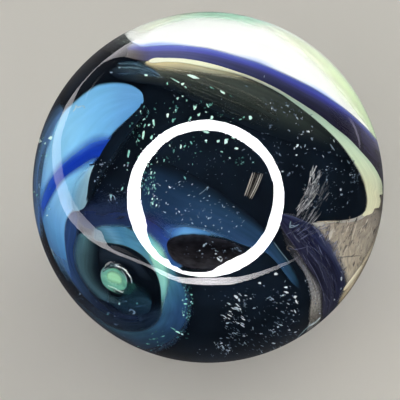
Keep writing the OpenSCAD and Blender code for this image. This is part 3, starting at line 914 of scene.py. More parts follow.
def thread_rows(path, width, depth):
    """A thin drawn thread along a path on the face map: its two edges stand half the width off the
    path, and the width falls to nothing at both ends."""
    path = smooth_path(path, THREAD_ROWS)
    run = np.gradient(path, axis=0)
    side = unit(np.stack([-run[:, 1], run[:, 0]], -1))
    half = width / 2 * np.sqrt(1 - np.linspace(-1, 1, THREAD_ROWS) ** THREAD_TAPER)[:, None]
    a, b = on_face(path + side * half, depth), on_face(path - side * half, depth)
    return closed_skin(petal_rows(a, b, depth, width * THREAD_FLAT, THREAD_ROWS, THREAD_ROUND)[0])


def threads(name, glass, paths, width, depth, tone, look, cover=1.0):
    """Drawn threads and scratches, joined as one piece; each has its own width and tone."""
    widths = np.broadcast_to(width, len(paths))
    skins = [thread_rows(path, one, depth) for path, one in zip(paths, widths)]
    tone = np.repeat(np.broadcast_to(tone, len(paths)), [len(skin[0]) for skin in skins])
    return part(make_mesh(name, *together(skins), tone=tone), toned_glass(glass, look, cover))


SEED = 7
dice = np.random.default_rng(SEED)
GUIDE_STEPS = 60
FAMILY_POINTS = 5
IVORY_LINES, STEEL_LINES = 46, 30


def family(upper, lower, count, short, long):
    """Seeded threads between two guide lines: each runs a share f of the way from the upper to the
    lower one, over its own part of their length. Gives the paths, the shares and where they start."""
    upper, lower = smooth_path(upper, GUIDE_STEPS), smooth_path(lower, GUIDE_STEPS)
    share, start = dice.uniform(0, 1, count), dice.uniform(0, 1 - short, count)
    stop = np.minimum(start + dice.uniform(short, long, count), 1)
    steps = np.arange(GUIDE_STEPS)
    found = []
    for f, a, b in zip(share, start, stop):
        at = np.linspace(a, b, FAMILY_POINTS) * steps[-1]
        line = upper * (1 - f) + lower * f
        found.append(np.stack([np.interp(at, steps, line[:, k]) for k in (0, 1)], -1))
    return found, share, start


# Fine lines where the ivory was drawn out over the dark, and steel-blue ones left of them
lines, share, start = family(
    [(-4.6, 8.75), (-3, 8.6), (-1, 8.15), (0.5, 7.65), (2, 7.1), (3.5, 6.4), (5, 5.5)],
    [(-4.4, 7.75), (-3, 7.35), (-1, 6.4), (0.5, 5.7), (2, 5.0), (3.5, 4.4), (5, 3.7)],
    IVORY_LINES, 0.15, 0.5)
threads("ivory_streaks", "drawn_ivory_thread", lines, dice.uniform(0.04, 0.08, IVORY_LINES), 0.896,
    np.clip(0.9 - 0.75 * share - 0.5 * start + dice.normal(0, 0.1, IVORY_LINES), 0, 1),
    [(0.0, "#2b332f"), (0.4, "#474c44"), (0.7, "#6c6d62"), (1.0, "#a8a48a")], cover=0.3)
lines, _, _ = family(
    [(-6.7, 9.0), (-5.8, 9.05), (-4.9, 8.9), (-4.1, 8.5), (-3.3, 8.1)],
    [(-6.8, 8.0), (-6.0, 7.95), (-5.1, 8.05), (-4.3, 7.95), (-3.5, 7.65)], STEEL_LINES, 0.3, 0.8)
threads("steel_streaks", "steel_blue_thread", lines, dice.uniform(0.06, 0.14, STEEL_LINES), 0.896,
    dice.uniform(0, 1, STEEL_LINES) ** 1.5,
    [(0.0, "#22344a"), (0.5, "#385468"), (1.0, "#7c9ca4")], cover=0.35)

# Two pairs of pale bars, right of the middle, on a brown ground
threads("bar_ground", "brown_drawn_glass",
    [[(3.42, 1.08), (3.15, 0.4), (2.78, -0.66)], [(3.72, 1.05), (3.38, 0.2), (2.92, -0.76)]], 0.34, 0.92,
    0.5, [(0.0, "#322f2c"), (1.0, "#403b37")], cover=0.75)
threads("twin_bars", "pale_drawn_glass",
    [[(3.2, 1.1), (2.98, 0.45), (2.6, -0.62)], [(3.34, 1.1), (3.12, 0.45), (2.74, -0.66)],
     [(3.8, 1.04), (3.46, 0.2), (2.96, -0.8)], [(3.92, 1.0), (3.58, 0.16), (3.08, -0.86)],
     [(3.6, 0.95), (3.3, 0.2), (2.88, -0.7)]], [0.08, 0.06, 0.08, 0.06, 0.04], 0.93,
    [0.7, 0.35, 0.75, 0.45, 0.1],
    [(0.0, "#605b56"), (0.5, "#8f8983"), (1.0, "#bdb8b1")])

# Short bright hairs in the clear skin, and painted glints round the rim of the pontil mark
threads("hairs_and_pontil_glints", "white_thread_and_pontil_glint",
    [[(-9.62, 5.4), (-9.45, 5.65), (-9.4, 5.88)], [(-9.4, 5.88), (-9.28, 5.72), (-9.0, 5.82)],
     [(-9.0, 5.82), (-8.85, 5.78), (-8.8, 5.6)], [(5.9, -2.4), (5.85, -2.62), (5.8, -2.88)],
     [(5.8, -2.88), (6.1, -2.8), (6.5, -2.62)], [(-0.05, 0.0), (-0.3, -0.25), (-0.65, -0.5)],
     [(-7.0, -0.45), (-6.95, -0.7), (-6.9, -0.95)], [(-6.9, -0.5), (-6.7, -0.62), (-6.6, -0.9)],
     [(7.3, -9.85), (7.6, -9.65), (8.02, -9.25)], [(6.3, -10.8), (6.9, -10.15), (7.6, -9.55)],
     [(-11.2, -4.3), (-11.1, -4.55), (-11.0, -4.9)], [(-11.95, -0.1), (-12.05, 0.15), (-12.0, 0.3)],
     # The five paths round (-6.7, -6.2) that start here are painted glints on the rim of the pontil mark,
     # not hairs
     [(-6.62, -5.56), (-6.48, -5.54), (-6.36, -5.58)], [(-7.62, -6.4), (-7.5, -5.9), (-7.05, -5.58)],
     [(-7.05, -5.58), (-6.75, -5.5), (-6.5, -5.66)], [(-6.2, -5.8), (-5.9, -6.2), (-5.72, -6.8)],
     [(-6.32, -6.0), (-6.05, -6.35), (-5.9, -6.9)], [(4.65, -3.85), (5.2, -4.6), (5.8, -5.35)],
     [(0.0, 0.1), (-0.02, -0.05), (-0.1, -0.2)], [(5.8, -2.85), (5.95, -2.7), (6.2, -2.75)]],
    [0.06, 0.06, 0.05, 0.05, 0.05, 0.04, 0.05, 0.05, 0.09, 0.06, 0.05, 0.05, 0.1, 0.05, 0.05, 0.06, 0.05,
     0.05, 0.05, 0.04], 0.96,
    [0.8, 0.8, 0.7, 0.5, 0.5, 0.35, 0.7, 0.6, 0.9, 0.5, 0.5, 0.6, 0.7, 0.35, 0.3, 0.5, 0.3, 0.3, 0.4, 0.5],
    [(0.0, "#3d5060"), (0.5, "#80949c"), (1.0, "#d4dee0")])

# Crossing scratches in the curtain; then painted highlights along the edges of the window beside it, and
# faint lines at the curtain's left edge
threads("curtain_scratches", "slate_drawn_thread",
    [[(6.6, -3.75), (7.1, -3.4), (7.6, -2.95)], [(5.75, -4.35), (6.3, -4.4), (7.0, -4.25)],
     [(7.0, -5.0), (7.7, -6.2), (8.2, -7.4)], [(6.9, -4.3), (7.7, -5.2), (8.4, -6.8)],
     [(6.2, -3.1), (6.6, -3.5), (7.1, -4.1)], [(6.35, -3.0), (6.75, -3.4), (7.25, -3.95)],
     [(6.3, -3.4), (6.7, -3.1), (7.1, -2.75)], [(6.1, -3.2), (6.5, -2.9), (6.9, -2.5)],
     [(7.4, -2.7), (7.9, -3.3), (8.4, -4.2)], [(7.0, -4.2), (7.5, -4.3), (7.9, -4.7)]],
    dice.uniform(0.025, 0.05, 10), 0.88, dice.uniform(0.3, 1, 10), [(0.0, "#2b2f48"), (1.0, "#6a7088")],
    cover=0.8)
threads("window_edge_highlights", "beige_highlight_thread",
    [[(12.25, -2.5), (12.02, -3.4), (11.75, -4.15), (11.35, -4.95), (10.95, -5.6)],
     [(11.0, -5.5), (10.5, -6.25), (10.05, -6.85), (9.65, -7.35)],
     [(11.35, -5.4), (11.1, -6.05), (10.4, -7.1), (9.6, -8.05)],
     [(11.75, -4.4), (11.4, -5.2), (11.15, -5.8)], [(5.7, -4.15), (5.62, -4.35), (5.85, -4.55)],
     [(5.7, -4.15), (5.9, -4.2), (6.15, -4.4)], [(6.15, -4.4), (6.6, -5.0), (7.1, -5.8)],
     [(7.2, -6.1), (7.5, -6.8), (7.7, -7.5)], [(7.7, -2.45), (8.4, -2.42), (9.3, -2.4)]],
    [0.15, 0.22, 0.12, 0.12, 0.06, 0.06, 0.06, 0.05, 0.08], 0.9,
    [0.85, 1.0, 0.7, 0.6, 0.2, 0.2, 0.1, 0.2, 0.75],
    [(0.0, "#3c3836"), (0.4, "#80786c"), (0.7, "#b8ad98"), (1.0, "#f2e8cc")], cover=0.85)


# ---------------------------------------------------------------- the dichroic flakes
FLAKE_SIDES = 6
FLAKE_JITTER = 0.42               # radians that a corner may stand off its even place
FLAKE_PUSH = (0.5, 1.2)           # how far in or out of the ellipse a corner may stand
FLAKE_SPREAD = 0.027              # how thick the layer of flakes is, in ball radii
FLAKE_SLOPE = 0.12                # how steeply most flakes lean
SMALL_BIAS = 2                    # the higher, the fewer are large
DIM_BIAS = 1.7                    # the higher, the fewer are bright
SLIM_SPREAD = 2.5                 # how many times broader than the slimmest a flake may be


def flakes(name, glass, corners, depth, slope, tone, look, cover=1.0, thickness=0.03):
    """Broken flakes as thin plates. corners holds unit vectors, flakes by corners; each corner's
    radius is the flake's depth, plus or minus half its thickness, plus its own slope."""
    sides = corners.shape[1]
    radius = BALL_R * depth[:, None] + MM * slope
    shell = np.stack([radius - MM * thickness / 2, radius + MM * thickness / 2], 1)
    points = (corners[:, None] * shell[..., None]).reshape(-1, 3)
    starts = np.arange(0, len(points), 2 * sides)[:, None]
    under = np.arange(sides)
    over, beside = under + sides, (under + 1) % sides
    walls = np.stack([under, beside, beside + sides, over], -1)
    faces = (under[::-1] + starts).tolist() + (over + starts).tolist()
    faces += (walls + starts[..., None]).reshape(-1, 4).tolist()
    piece = make_mesh(name, points, faces, tone=np.repeat(tone, 2 * sides))
    piece.data.polygons.foreach_set("use_smooth", np.zeros(len(faces), bool))
    return part(piece, toned_glass(glass, look, cover))


def broken(length, width, tilt):
    """The outlines of broken flakes: points round an ellipse of that length and width, each pushed
    in or out and along it by chance, and the whole turned by tilt degrees."""
    shape = (len(length), FLAKE_SIDES)
    turn = np.arange(FLAKE_SIDES) * TAU / FLAKE_SIDES + dice.uniform(-FLAKE_JITTER, FLAKE_JITTER, shape)
    push = dice.uniform(*FLAKE_PUSH, shape)
    x = np.cos(turn) * push * length[:, None] / 2
    y = np.sin(turn) * push * width[:, None] / 2
    tilt = np.radians(tilt)[:, None]
    return np.stack([x * np.cos(tilt) - y * np.sin(tilt), x * np.sin(tilt) + y * np.cos(tilt)], -1)


def scatter(groups):
    """Seeded flakes for groups given as (middle x, y, half width, half height, lean of the patch,
    count, shortest, longest, slimness, mean tilt, spread of tilt, dimmest, brightest). Most are
    small and dim, and a few are large or bright."""
    found = []
    for x, y, a, b, lean, count, short, long, slim, tilt, spread, dim, bright in groups:
        reach, turn = np.sqrt(dice.uniform(0, 1, count)), dice.uniform(0, TAU, count)
        across, up = a * reach * np.cos(turn), b * reach * np.sin(turn)
        c, d = math.cos(math.radians(lean)), math.sin(math.radians(lean))
        length = short + (long - short) * dice.uniform(0, 1, count) ** SMALL_BIAS
        width = length * dice.uniform(slim, SLIM_SPREAD * slim, count)
        tilts = dice.normal(tilt, spread, count)
        tone = dim + (bright - dim) * dice.uniform(0, 1, count) ** DIM_BIAS
        found.append([x + across * c - up * d, y + across * d + up * c, length, width, tilts, tone])
    return np.concatenate(found, axis=1).T


def on_back(places, depth):
    """Unit vectors to places of the back map: millimetres from the pole opposite the pontil mark,
    along the inner sphere whose radius is depth ball radii."""
    away = math.pi - np.hypot(places[..., 0], places[..., 1]) * MM / (depth * BALL_R)
    turn = np.arctan2(places[..., 1], places[..., 0])
    return round_pontil(np.degrees(np.stack([away, turn], -1)))


def face_flakes(name, glass, table, look, deepest=0.918, cover=1.0, place=on_face):
    """Flakes placed on the face map, or on another map where place says so. Each row of the table
    is x, y, length, width, tilt in degrees and tone."""
    x, y, length, width, tilt, tone = np.asarray(table, float).T
    outline = broken(length, width, tilt)
    depth = dice.uniform(deepest, deepest + FLAKE_SPREAD, len(x))
    corners = place(np.stack([x, y], -1)[:, None] + outline, depth[:, None])
    slope = dice.normal(0, FLAKE_SLOPE, (len(x), 1)) * outline[..., 0]
    return flakes(name, glass, corners, depth, slope, tone, look, cover)


MINT = [(0.0, "#1d3335"), (0.35, "#3c6c66"), (0.65, "#8cd0bc"), (1.0, "#e6fff2")]
SILVER = [(0.0, "#252c38"), (0.35, "#4e5c6c"), (0.65, "#98a9b6"), (1.0, "#f2f6f6")]

# The flakes that stand out are placed one by one, and the rest fill their patches by chance. A flake's tone
# is its tint and, where it is high, a painted glint as if it caught the light
named_mint = [
    (-4.6, 3.75, 0.95, 0.25, 82, 0.8), (-3.87, 4.65, 0.62, 0.2, 95, 0.75), (-4.0, 3.6, 0.45, 0.2, 75, 0.7),
    (-5.65, 2.4, 0.55, 0.18, 80, 0.65), (-4.5, 4.42, 0.4, 0.12, 60, 0.7),
    (-2.87, 5.1, 0.42, 0.19, 85, 0.95), (-4.95, 2.2, 0.3, 0.18, 50, 0.8), (0.3, 4.98, 0.45, 0.22, 80, 0.85),
    (3.0, 5.0, 0.4, 0.24, -75, 0.9), (-0.1, 3.95, 0.5, 0.18, -15, 0.8), (-0.15, 3.35, 0.22, 0.18, 40, 0.9),
    (0.7, 3.3, 0.28, 0.2, 30, 0.85), (1.25, 3.28, 0.38, 0.3, 80, 0.9), (2.05, 2.78, 0.34, 0.2, 0, 0.95),
    (1.0, 2.55, 0.25, 0.14, -20, 0.8), (1.55, 2.1, 0.16, 0.14, 0, 0.9), (1.75, 3.55, 0.34, 0.14, -20, 0.8),
    (-1.2, 3.2, 0.24, 0.14, -50, 0.6), (-1.65, 2.95, 0.24, 0.12, 50, 0.6), (3.2, 1.8, 0.16, 0.12, 0, 0.7),
    (-1.65, 0.7, 0.3, 0.12, -60, 0.55), (-1.1, 7.9, 0.95, 0.26, -20, 0.98),
    (-4.4, 8.0, 0.34, 0.17, -15, 0.95), (-1.8, 7.38, 0.28, 0.2, 20, 0.95),
    (-2.25, 7.58, 0.8, 0.07, -26, 0.8), (-1.6, 7.13, 0.2, 0.12, -30, 0.8),
    (1.05, 6.78, 0.5, 0.14, -30, 0.95), (-2.15, 6.35, 0.22, 0.2, 60, 0.85), (-1.8, 6.5, 0.16, 0.12, 0, 0.8),
    (-2.9, 7.4, 0.2, 0.12, 90, 0.65), (-0.95, 5.65, 0.4, 0.22, 70, 0.85), (0.0, 5.8, 0.4, 0.12, -60, 0.8),
    (-0.65, 5.2, 0.3, 0.2, 30, 0.85), (-1.25, 4.95, 0.3, 0.12, 60, 0.7), (-2.4, 4.85, 0.3, 0.1, 40, 0.5),
    (0.25, 7.1, 0.5, 0.08, -30, 0.5), (1.65, 6.5, 0.3, 0.05, -40, 0.4), (-4.2, 4.45, 0.2, 0.14, 20, 0.85),
    (-4.35, 5.05, 0.2, 0.12, 50, 0.4), (2.3, 4.85, 0.26, 0.1, 20, 0.7), (2.55, 5.0, 0.2, 0.12, 60, 0.6),
    (-5.75, 1.25, 0.14, 0.12, 0, 0.8), (-6.9, -0.6, 0.4, 0.12, 100, 0.7), (-6.1, -0.05, 0.34, 0.1, 70, 0.7),
    (-5.7, 1.75, 0.16, 0.1, 0, 0.6), (-12.0, 3.3, 0.4, 0.3, 0, 1.0), (-11.22, 3.52, 0.42, 0.26, 40, 1.0),
    (-11.6, 3.15, 0.3, 0.12, 60, 0.9), (-12.4, -0.3, 0.2, 0.14, 0, 0.7),
    (-12.2, -0.55, 0.24, 0.16, 40, 0.6), (-11.45, -2.0, 0.14, 0.12, 0, 0.9),
    (-2.15, -10.3, 0.6, 0.16, -28, 0.78), (-2.45, -10.1, 0.5, 0.07, -28, 0.5),
    (-1.85, -10.45, 0.2, 0.1, -28, 0.9), (-1.6, -8.3, 0.24, 0.14, -10, 0.7),
    (-1.55, -7.95, 0.2, 0.1, 0, 0.6), (-1.75, -9.1, 0.16, 0.12, 0, 0.7), (-1.2, -8.15, 0.14, 0.12, 0, 0.9),
    (-1.85, -6.75, 0.16, 0.1, 60, 0.9), (-3.2, -10.6, 0.34, 0.1, 12, 0.5),
    (-3.9, -10.8, 0.3, 0.08, 10, 0.4), (-4.3, -11.15, 0.3, 0.1, 0, 0.4), (-5.05, -8.28, 0.12, 0.1, 0, 0.5),
    (-6.32, -8.28, 0.14, 0.13, 0, 0.95), (-7.15, -9.05, 0.16, 0.1, 0, 0.4),
]
face_flakes("mint_flakes", "dichroic_mint_flakes", np.concatenate([named_mint, scatter([
    (-3.4, 3.9, 2.2, 2.4, 30, 70, 0.07, 0.34, 0.25, 75, 25, 0.15, 1.0),
    (-0.6, 5.4, 2.8, 0.9, -12, 28, 0.07, 0.28, 0.3, 40, 50, 0.15, 1.0),
    (-4.2, 0.4, 0.55, 1.9, 10, 76, 0.08, 0.28, 0.22, 70, 30, 0.3, 1.0),
    (-0.5, 2.8, 2.8, 1.2, 0, 24, 0.06, 0.2, 0.3, 20, 50, 0.15, 0.7),
    (2.4, 1.9, 0.5, 0.3, 20, 18, 0.08, 0.26, 0.2, 40, 40, 0.2, 0.7),
    (-1.55, -8.3, 0.45, 1.5, -4, 56, 0.04, 0.14, 0.5, 20, 50, 0.2, 0.8),
    (-11.7, 1.5, 0.4, 3.6, 8, 34, 0.06, 0.18, 0.3, 80, 20, 0.15, 0.7),
    (-3.4, -10.9, 2.2, 0.7, 12, 34, 0.08, 0.28, 0.2, 5, 25, 0.1, 0.5),
])]), MINT)

named_silver = [
    (7.15, 4.0, 0.24, 0.16, -30, 0.95), (6.8, 3.95, 0.18, 0.14, 80, 0.6), (6.35, 2.95, 0.3, 0.2, 50, 0.95),
    (6.3, 2.32, 0.16, 0.14, 0, 0.95), (5.3, 1.15, 0.16, 0.14, 0, 0.95), (5.8, 4.05, 0.2, 0.12, -45, 0.5),
    (7.4, 3.45, 0.24, 0.09, -60, 0.5), (7.4, 4.35, 0.22, 0.09, -40, 0.55),
    (8.85, 2.85, 0.55, 0.1, -55, 0.5), (8.6, 2.5, 0.26, 0.14, -10, 0.3), (10.0, 1.8, 0.28, 0.12, -55, 0.45),
    (9.45, -0.15, 0.26, 0.14, 80, 0.95), (9.5, -0.5, 0.18, 0.14, 30, 0.6), (5.6, 5.85, 0.3, 0.06, -10, 0.5),
    (5.4, 5.35, 0.26, 0.1, -20, 0.4), (4.6, 5.65, 0.34, 0.1, -40, 0.3), (4.45, 4.4, 0.3, 0.14, 10, 0.3),
    (2.75, 7.2, 0.3, 0.06, -30, 0.4), (4.0, 7.9, 0.22, 0.07, 80, 0.5), (6.1, 5.5, 0.3, 0.05, -60, 0.3),
    (5.75, 0.95, 0.4, 0.2, 60, 0.3), (-0.3, -4.15, 0.24, 0.14, 60, 0.65), (-0.15, -4.0, 0.2, 0.1, 20, 0.6),
    (-0.6, -4.5, 0.2, 0.07, 20, 0.6), (-0.4, -4.72, 0.16, 0.12, 0, 0.55),
    (0.55, -4.72, 0.2, 0.14, 10, 0.75), (0.55, -4.5, 0.12, 0.1, 0, 0.6),
    (0.75, -5.1, 0.36, 0.12, -50, 0.85), (0.95, -5.2, 0.3, 0.12, 60, 0.85),
    (0.85, -4.95, 0.3, 0.1, 0, 0.75), (1.2, -4.5, 0.12, 0.1, 0, 0.4), (-0.05, 0.0, 0.1, 0.08, 0, 0.9),
    (-2.65, 0.0, 0.4, 0.08, 35, 0.45), (-3.1, -1.75, 0.26, 0.1, -30, 0.6),
    (0.05, -2.2, 0.2, 0.12, 30, 0.75), (0.2, -2.15, 0.2, 0.07, 50, 0.6), (-0.1, -2.1, 0.16, 0.07, -60, 0.5),
    (-1.6, -1.65, 0.16, 0.1, -60, 0.6), (0.1, -0.6, 0.16, 0.14, 0, 0.6), (1.5, -3.15, 0.14, 0.12, 0, 0.6),
    (0.4, -2.7, 0.12, 0.1, 0, 0.6), (0.8, -1.05, 0.2, 0.05, 0, 0.4), (2.0, -7.8, 0.46, 0.22, -50, 0.85),
    (2.2, -8.0, 0.3, 0.14, -60, 0.75), (1.5, -8.3, 0.3, 0.12, -20, 0.7), (1.9, -8.65, 0.24, 0.12, -20, 0.7),
    (2.3, -8.65, 0.24, 0.14, -50, 0.8), (6.2, -7.8, 0.34, 0.2, -10, 0.95),
    (6.3, -8.12, 0.34, 0.14, -60, 0.95), (5.6, -7.45, 0.42, 0.16, -20, 0.95),
    (5.55, -7.1, 0.26, 0.15, -10, 0.98), (4.85, -6.15, 0.28, 0.2, 20, 0.98),
    (3.7, -6.8, 0.24, 0.18, 0, 0.95), (5.75, -8.3, 0.3, 0.12, -30, 0.75), (4.35, -7.85, 0.5, 0.1, 20, 0.45),
    (4.45, -8.0, 0.3, 0.1, -10, 0.5), (5.3, -8.85, 0.3, 0.1, -10, 0.5), (6.2, -8.8, 0.34, 0.12, -60, 0.8),
    (5.2, -7.7, 0.24, 0.1, -20, 0.6), (5.2, -9.8, 0.34, 0.1, -10, 0.65), (5.0, -9.95, 0.2, 0.12, 10, 0.75),
    (5.8, -10.15, 0.2, 0.14, -20, 0.8), (6.25, -10.3, 0.24, 0.1, 20, 0.7), (4.7, -10.3, 0.3, 0.1, 20, 0.55),
    (6.1, -9.1, 0.14, 0.12, 0, 0.5), (3.3, -8.6, 0.26, 0.1, 10, 0.55), (0.95, -11.1, 0.2, 0.14, 0, 0.75),
    (1.05, -11.35, 0.3, 0.12, -50, 0.7), (0.75, -11.4, 0.2, 0.12, 10, 0.6),
    (0.9, -10.75, 0.24, 0.08, 10, 0.5), (1.4, -9.65, 0.3, 0.12, 10, 0.6), (5.75, -9.0, 0.2, 0.1, 0, 0.4),
    (9.5, -6.5, 0.34, 0.14, 80, 0.75), (9.0, -8.0, 0.22, 0.07, 60, 0.8), (9.48, -7.2, 0.2, 0.08, 70, 0.6),
    (-7.6, 1.65, 0.4, 0.15, 10, 0.5), (-6.3, 8.55, 0.14, 0.12, 0, 0.6), (-6.9, 8.2, 0.2, 0.14, 0, 0.6),
]
face_flakes("silver_flakes", "dichroic_silver_flakes", np.concatenate([named_silver, scatter([
    (2.0, -9.1, 0.8, 1.5, -10, 54, 0.1, 0.46, 0.12, -32, 8, 0.25, 1.0),
    (3.8, -9.2, 2.9, 2.2, -8, 100, 0.08, 0.34, 0.16, -25, 20, 0.1, 0.85),
    (3.4, -11.0, 2.8, 0.9, 5, 86, 0.08, 0.32, 0.16, -28, 16, 0.15, 0.7),
    (5.5, -8.4, 1.0, 1.8, 0, 34, 0.08, 0.34, 0.2, -20, 35, 0.15, 0.95),
    (0.9, -7.4, 1.5, 0.7, -10, 20, 0.06, 0.18, 0.2, -20, 30, 0.15, 0.5),
    (0.6, -11.6, 1.4, 0.6, 8, 30, 0.07, 0.26, 0.25, -10, 40, 0.15, 0.8),
    (6.6, 3.2, 3.6, 2.2, -45, 84, 0.07, 0.3, 0.2, -50, 45, 0.1, 0.85),
    (8.6, -0.2, 2.0, 1.6, 20, 70, 0.06, 0.22, 0.25, 40, 50, 0.1, 0.7),
    (5.4, 5.6, 1.8, 0.8, -38, 26, 0.1, 0.3, 0.22, -40, 40, 0.2, 0.95),
    (10.5, 1.0, 0.3, 1.2, 12, 50, 0.06, 0.22, 0.3, 60, 40, 0.1, 0.6),
    (0.8, 1.8, 3.6, 1.6, -8, 70, 0.06, 0.24, 0.2, 30, 60, 0.1, 0.6),
    (-0.6, 6.6, 3.6, 1.0, -18, 34, 0.05, 0.2, 0.2, -10, 40, 0.1, 0.7),
    (-0.8, -1.3, 3.6, 1.5, -22, 110, 0.08, 0.28, 0.15, 30, 50, 0.25, 1.0),
    (-6.9, 0.5, 1.6, 1.8, 0, 54, 0.07, 0.28, 0.22, 30, 50, 0.15, 0.85),
    (0.0, -4.6, 1.8, 0.8, 0, 30, 0.05, 0.16, 0.3, 0, 50, 0.15, 0.6),
    (2.1, -4.4, 0.4, 0.3, 0, 14, 0.06, 0.2, 0.4, 0, 50, 0.2, 0.45),
    (-7.0, -9.6, 3.2, 1.4, -45, 24, 0.05, 0.16, 0.4, 0, 50, 0.15, 0.6),
    (7.4, -7.2, 0.3, 2.0, 18, 46, 0.04, 0.1, 0.6, 0, 50, 0.3, 0.8),
    (7.7, -0.2, 0.7, 1.6, -20, 40, 0.06, 0.22, 0.3, 60, 50, 0.1, 0.6),
])]), SILVER)

# The back carries flakes too, thickest in the black between its arms
face_flakes("back_mint_flakes", "dichroic_back_flakes", scatter([
    (0.2, 12.4, 4.2, 1.6, 0, 70, 0.1, 0.5, 0.3, 0, 40, 0.15, 1.0),
    (-5.2, 7.6, 2.6, 1.4, 40, 70, 0.1, 0.5, 0.25, 40, 25, 0.15, 1.0),
    (-12.6, 9.6, 3.2, 2.2, 45, 60, 0.1, 0.45, 0.25, 45, 30, 0.15, 0.95),
    (2.0, 3.4, 2.6, 1.6, 10, 50, 0.1, 0.4, 0.3, 20, 40, 0.15, 1.0),
]), MINT, place=on_back)
face_flakes("back_silver_flakes", "dichroic_steel_flakes", scatter([
    (-7.6, -11.8, 4.2, 2.6, -50, 130, 0.1, 0.45, 0.25, -40, 30, 0.15, 0.95),
    (1.5, -12.5, 4.0, 2.2, 0, 60, 0.1, 0.4, 0.25, 0, 40, 0.15, 0.85),
    (-14.2, 4.5, 2.2, 3.6, 0, 60, 0.1, 0.4, 0.25, 70, 30, 0.1, 0.8),
    (5.6, 1.0, 1.6, 3.0, 0, 40, 0.08, 0.35, 0.3, 80, 40, 0.1, 0.8),
]), SILVER, place=on_back)

# Seed bubbles in the clear skin, and the black spike that splits the fan's edge
threads("seed_bubbles", "bubble_skin",
    [[(-5.62, -8.84), (-5.52, -8.7), (-5.34, -8.76)], [(-5.34, -8.76), (-5.22, -8.92), (-5.38, -9.02)],
     [(-7.2, -8.98), (-7.1, -8.93), (-7.02, -8.99)], [(-6.7, -9.7), (-6.58, -9.76), (-6.48, -9.82)],
     [(-5.92, -8.12), (-5.84, -8.08), (-5.8, -8.16)]], [0.06, 0.05, 0.05, 0.05, 0.05], 0.95,
    [0.5, 0.8, 0.3, 0.4, 0.3],
    [(0.0, "#31424e"), (0.5, "#6c8088"), (1.0, "#bcc8c8")])
threads("lip_spike", "black_thread",
    [[(-8.5, 1.6), (-8.1, 1.66), (-7.7, 1.74)]], [0.11], 0.93, [0.0], [(0.0, "#10161f"), (1.0, "#18202a")])

# Silver brushed on in fine hairs, right of the middle
face_flakes("silver_hairs", "silver_foil", scatter([
    (7.4, 0.95, 0.22, 0.45, -10, 22, 0.3, 1.0, 0.04, 77, 7, 0.3, 1.0),
    (7.95, 0.95, 0.15, 0.25, 0, 10, 0.2, 0.6, 0.06, 65, 14, 0.3, 1.0),
    (7.5, 0.0, 0.45, 0.75, -20, 60, 0.25, 1.0, 0.04, 63, 9, 0.2, 1.0),
    (7.35, -0.2, 0.6, 0.6, 0, 30, 0.15, 0.5, 0.05, -25, 30, 0.2, 0.8),
    (7.1, -0.9, 0.48, 0.65, -25, 46, 0.3, 1.1, 0.04, 56, 8, 0.2, 1.0),
    (6.65, -1.45, 0.26, 0.4, -30, 22, 0.3, 0.9, 0.06, 54, 6, 0.35, 1.0),
    (8.2, -0.5, 0.4, 0.9, -20, 34, 0.3, 1.1, 0.035, 60, 10, 0.0, 0.4),
    (7.3, -1.9, 0.6, 0.5, -20, 30, 0.4, 1.2, 0.03, 52, 8, 0.05, 0.55),
]), [(0.0, "#2e3035"), (0.5, "#8a8b8e"), (1.0, "#e2e2e2")])

# Crossing scratches in the curtain, and its ragged right edge
face_flakes("curtain_hatch", "slate_thread", scatter([
    (6.7, -3.2, 1.0, 0.7, -30, 30, 0.4, 1.3, 0.03, 38, 7, 0.2, 1.0),
    (6.9, -3.3, 1.0, 0.8, -30, 30, 0.4, 1.5, 0.03, -52, 7, 0.1, 0.8),
    (7.9, -5.4, 0.8, 1.8, 32, 40, 0.4, 1.6, 0.025, -60, 9, 0.1, 0.9),
    (8.6, -7.2, 0.7, 1.6, 8, 24, 0.3, 1.2, 0.03, -78, 9, 0.1, 0.8),
    (8.25, -3.1, 0.4, 0.5, 30, 22, 0.2, 0.6, 0.09, 48, 20, 0.4, 1.0),
    (8.95, -4.2, 0.3, 0.8, 25, 30, 0.15, 0.5, 0.1, 60, 25, 0.4, 1.0),
    (9.5, -5.7, 0.2, 0.9, 12, 24, 0.12, 0.4, 0.12, 75, 30, 0.4, 1.0),
]), [(0.0, "#23284a"), (0.5, "#464c68"), (1.0, "#82879a")], deepest=0.88, cover=0.7)

# Strokes in the clear window, where the glass is rippled: the ripples' highlights and shade are painted,
# light and dark strokes side by side
named_light_and_shade_strokes = [
    (10.42, -3.1, 1.7, 0.08, 73, 0.95), (10.3, -2.95, 1.4, 0.13, 73, 0.05),
    (11.3, -2.4, 0.45, 0.1, 60, 0.9), (9.3, -4.15, 0.9, 0.08, 60, 0.85), (9.18, -4.0, 0.9, 0.14, 60, 0.1),
    (9.85, -4.4, 0.7, 0.08, 70, 0.85), (9.74, -4.3, 0.7, 0.12, 70, 0.1), (8.78, -3.35, 1.0, 0.3, 72, 1.0),
    (8.95, -3.05, 0.4, 0.3, 40, 0.9), (8.35, -2.75, 0.6, 0.3, 80, 0.75), (10.7, -4.35, 0.35, 0.09, 60, 0.9),
    (10.55, -2.35, 0.6, 0.12, 76, 0.1), (9.95, -2.75, 0.6, 0.1, 70, 0.1), (10.05, -2.9, 0.4, 0.07, 70, 0.8),
    (11.9, -2.3, 0.3, 0.1, 60, 0.2), (11.45, -3.3, 0.35, 0.09, 55, 0.8), (10.1, -4.9, 2.0, 0.1, 4, 0.3),
    (9.6, -3.3, 0.3, 0.08, 40, 0.85),
]
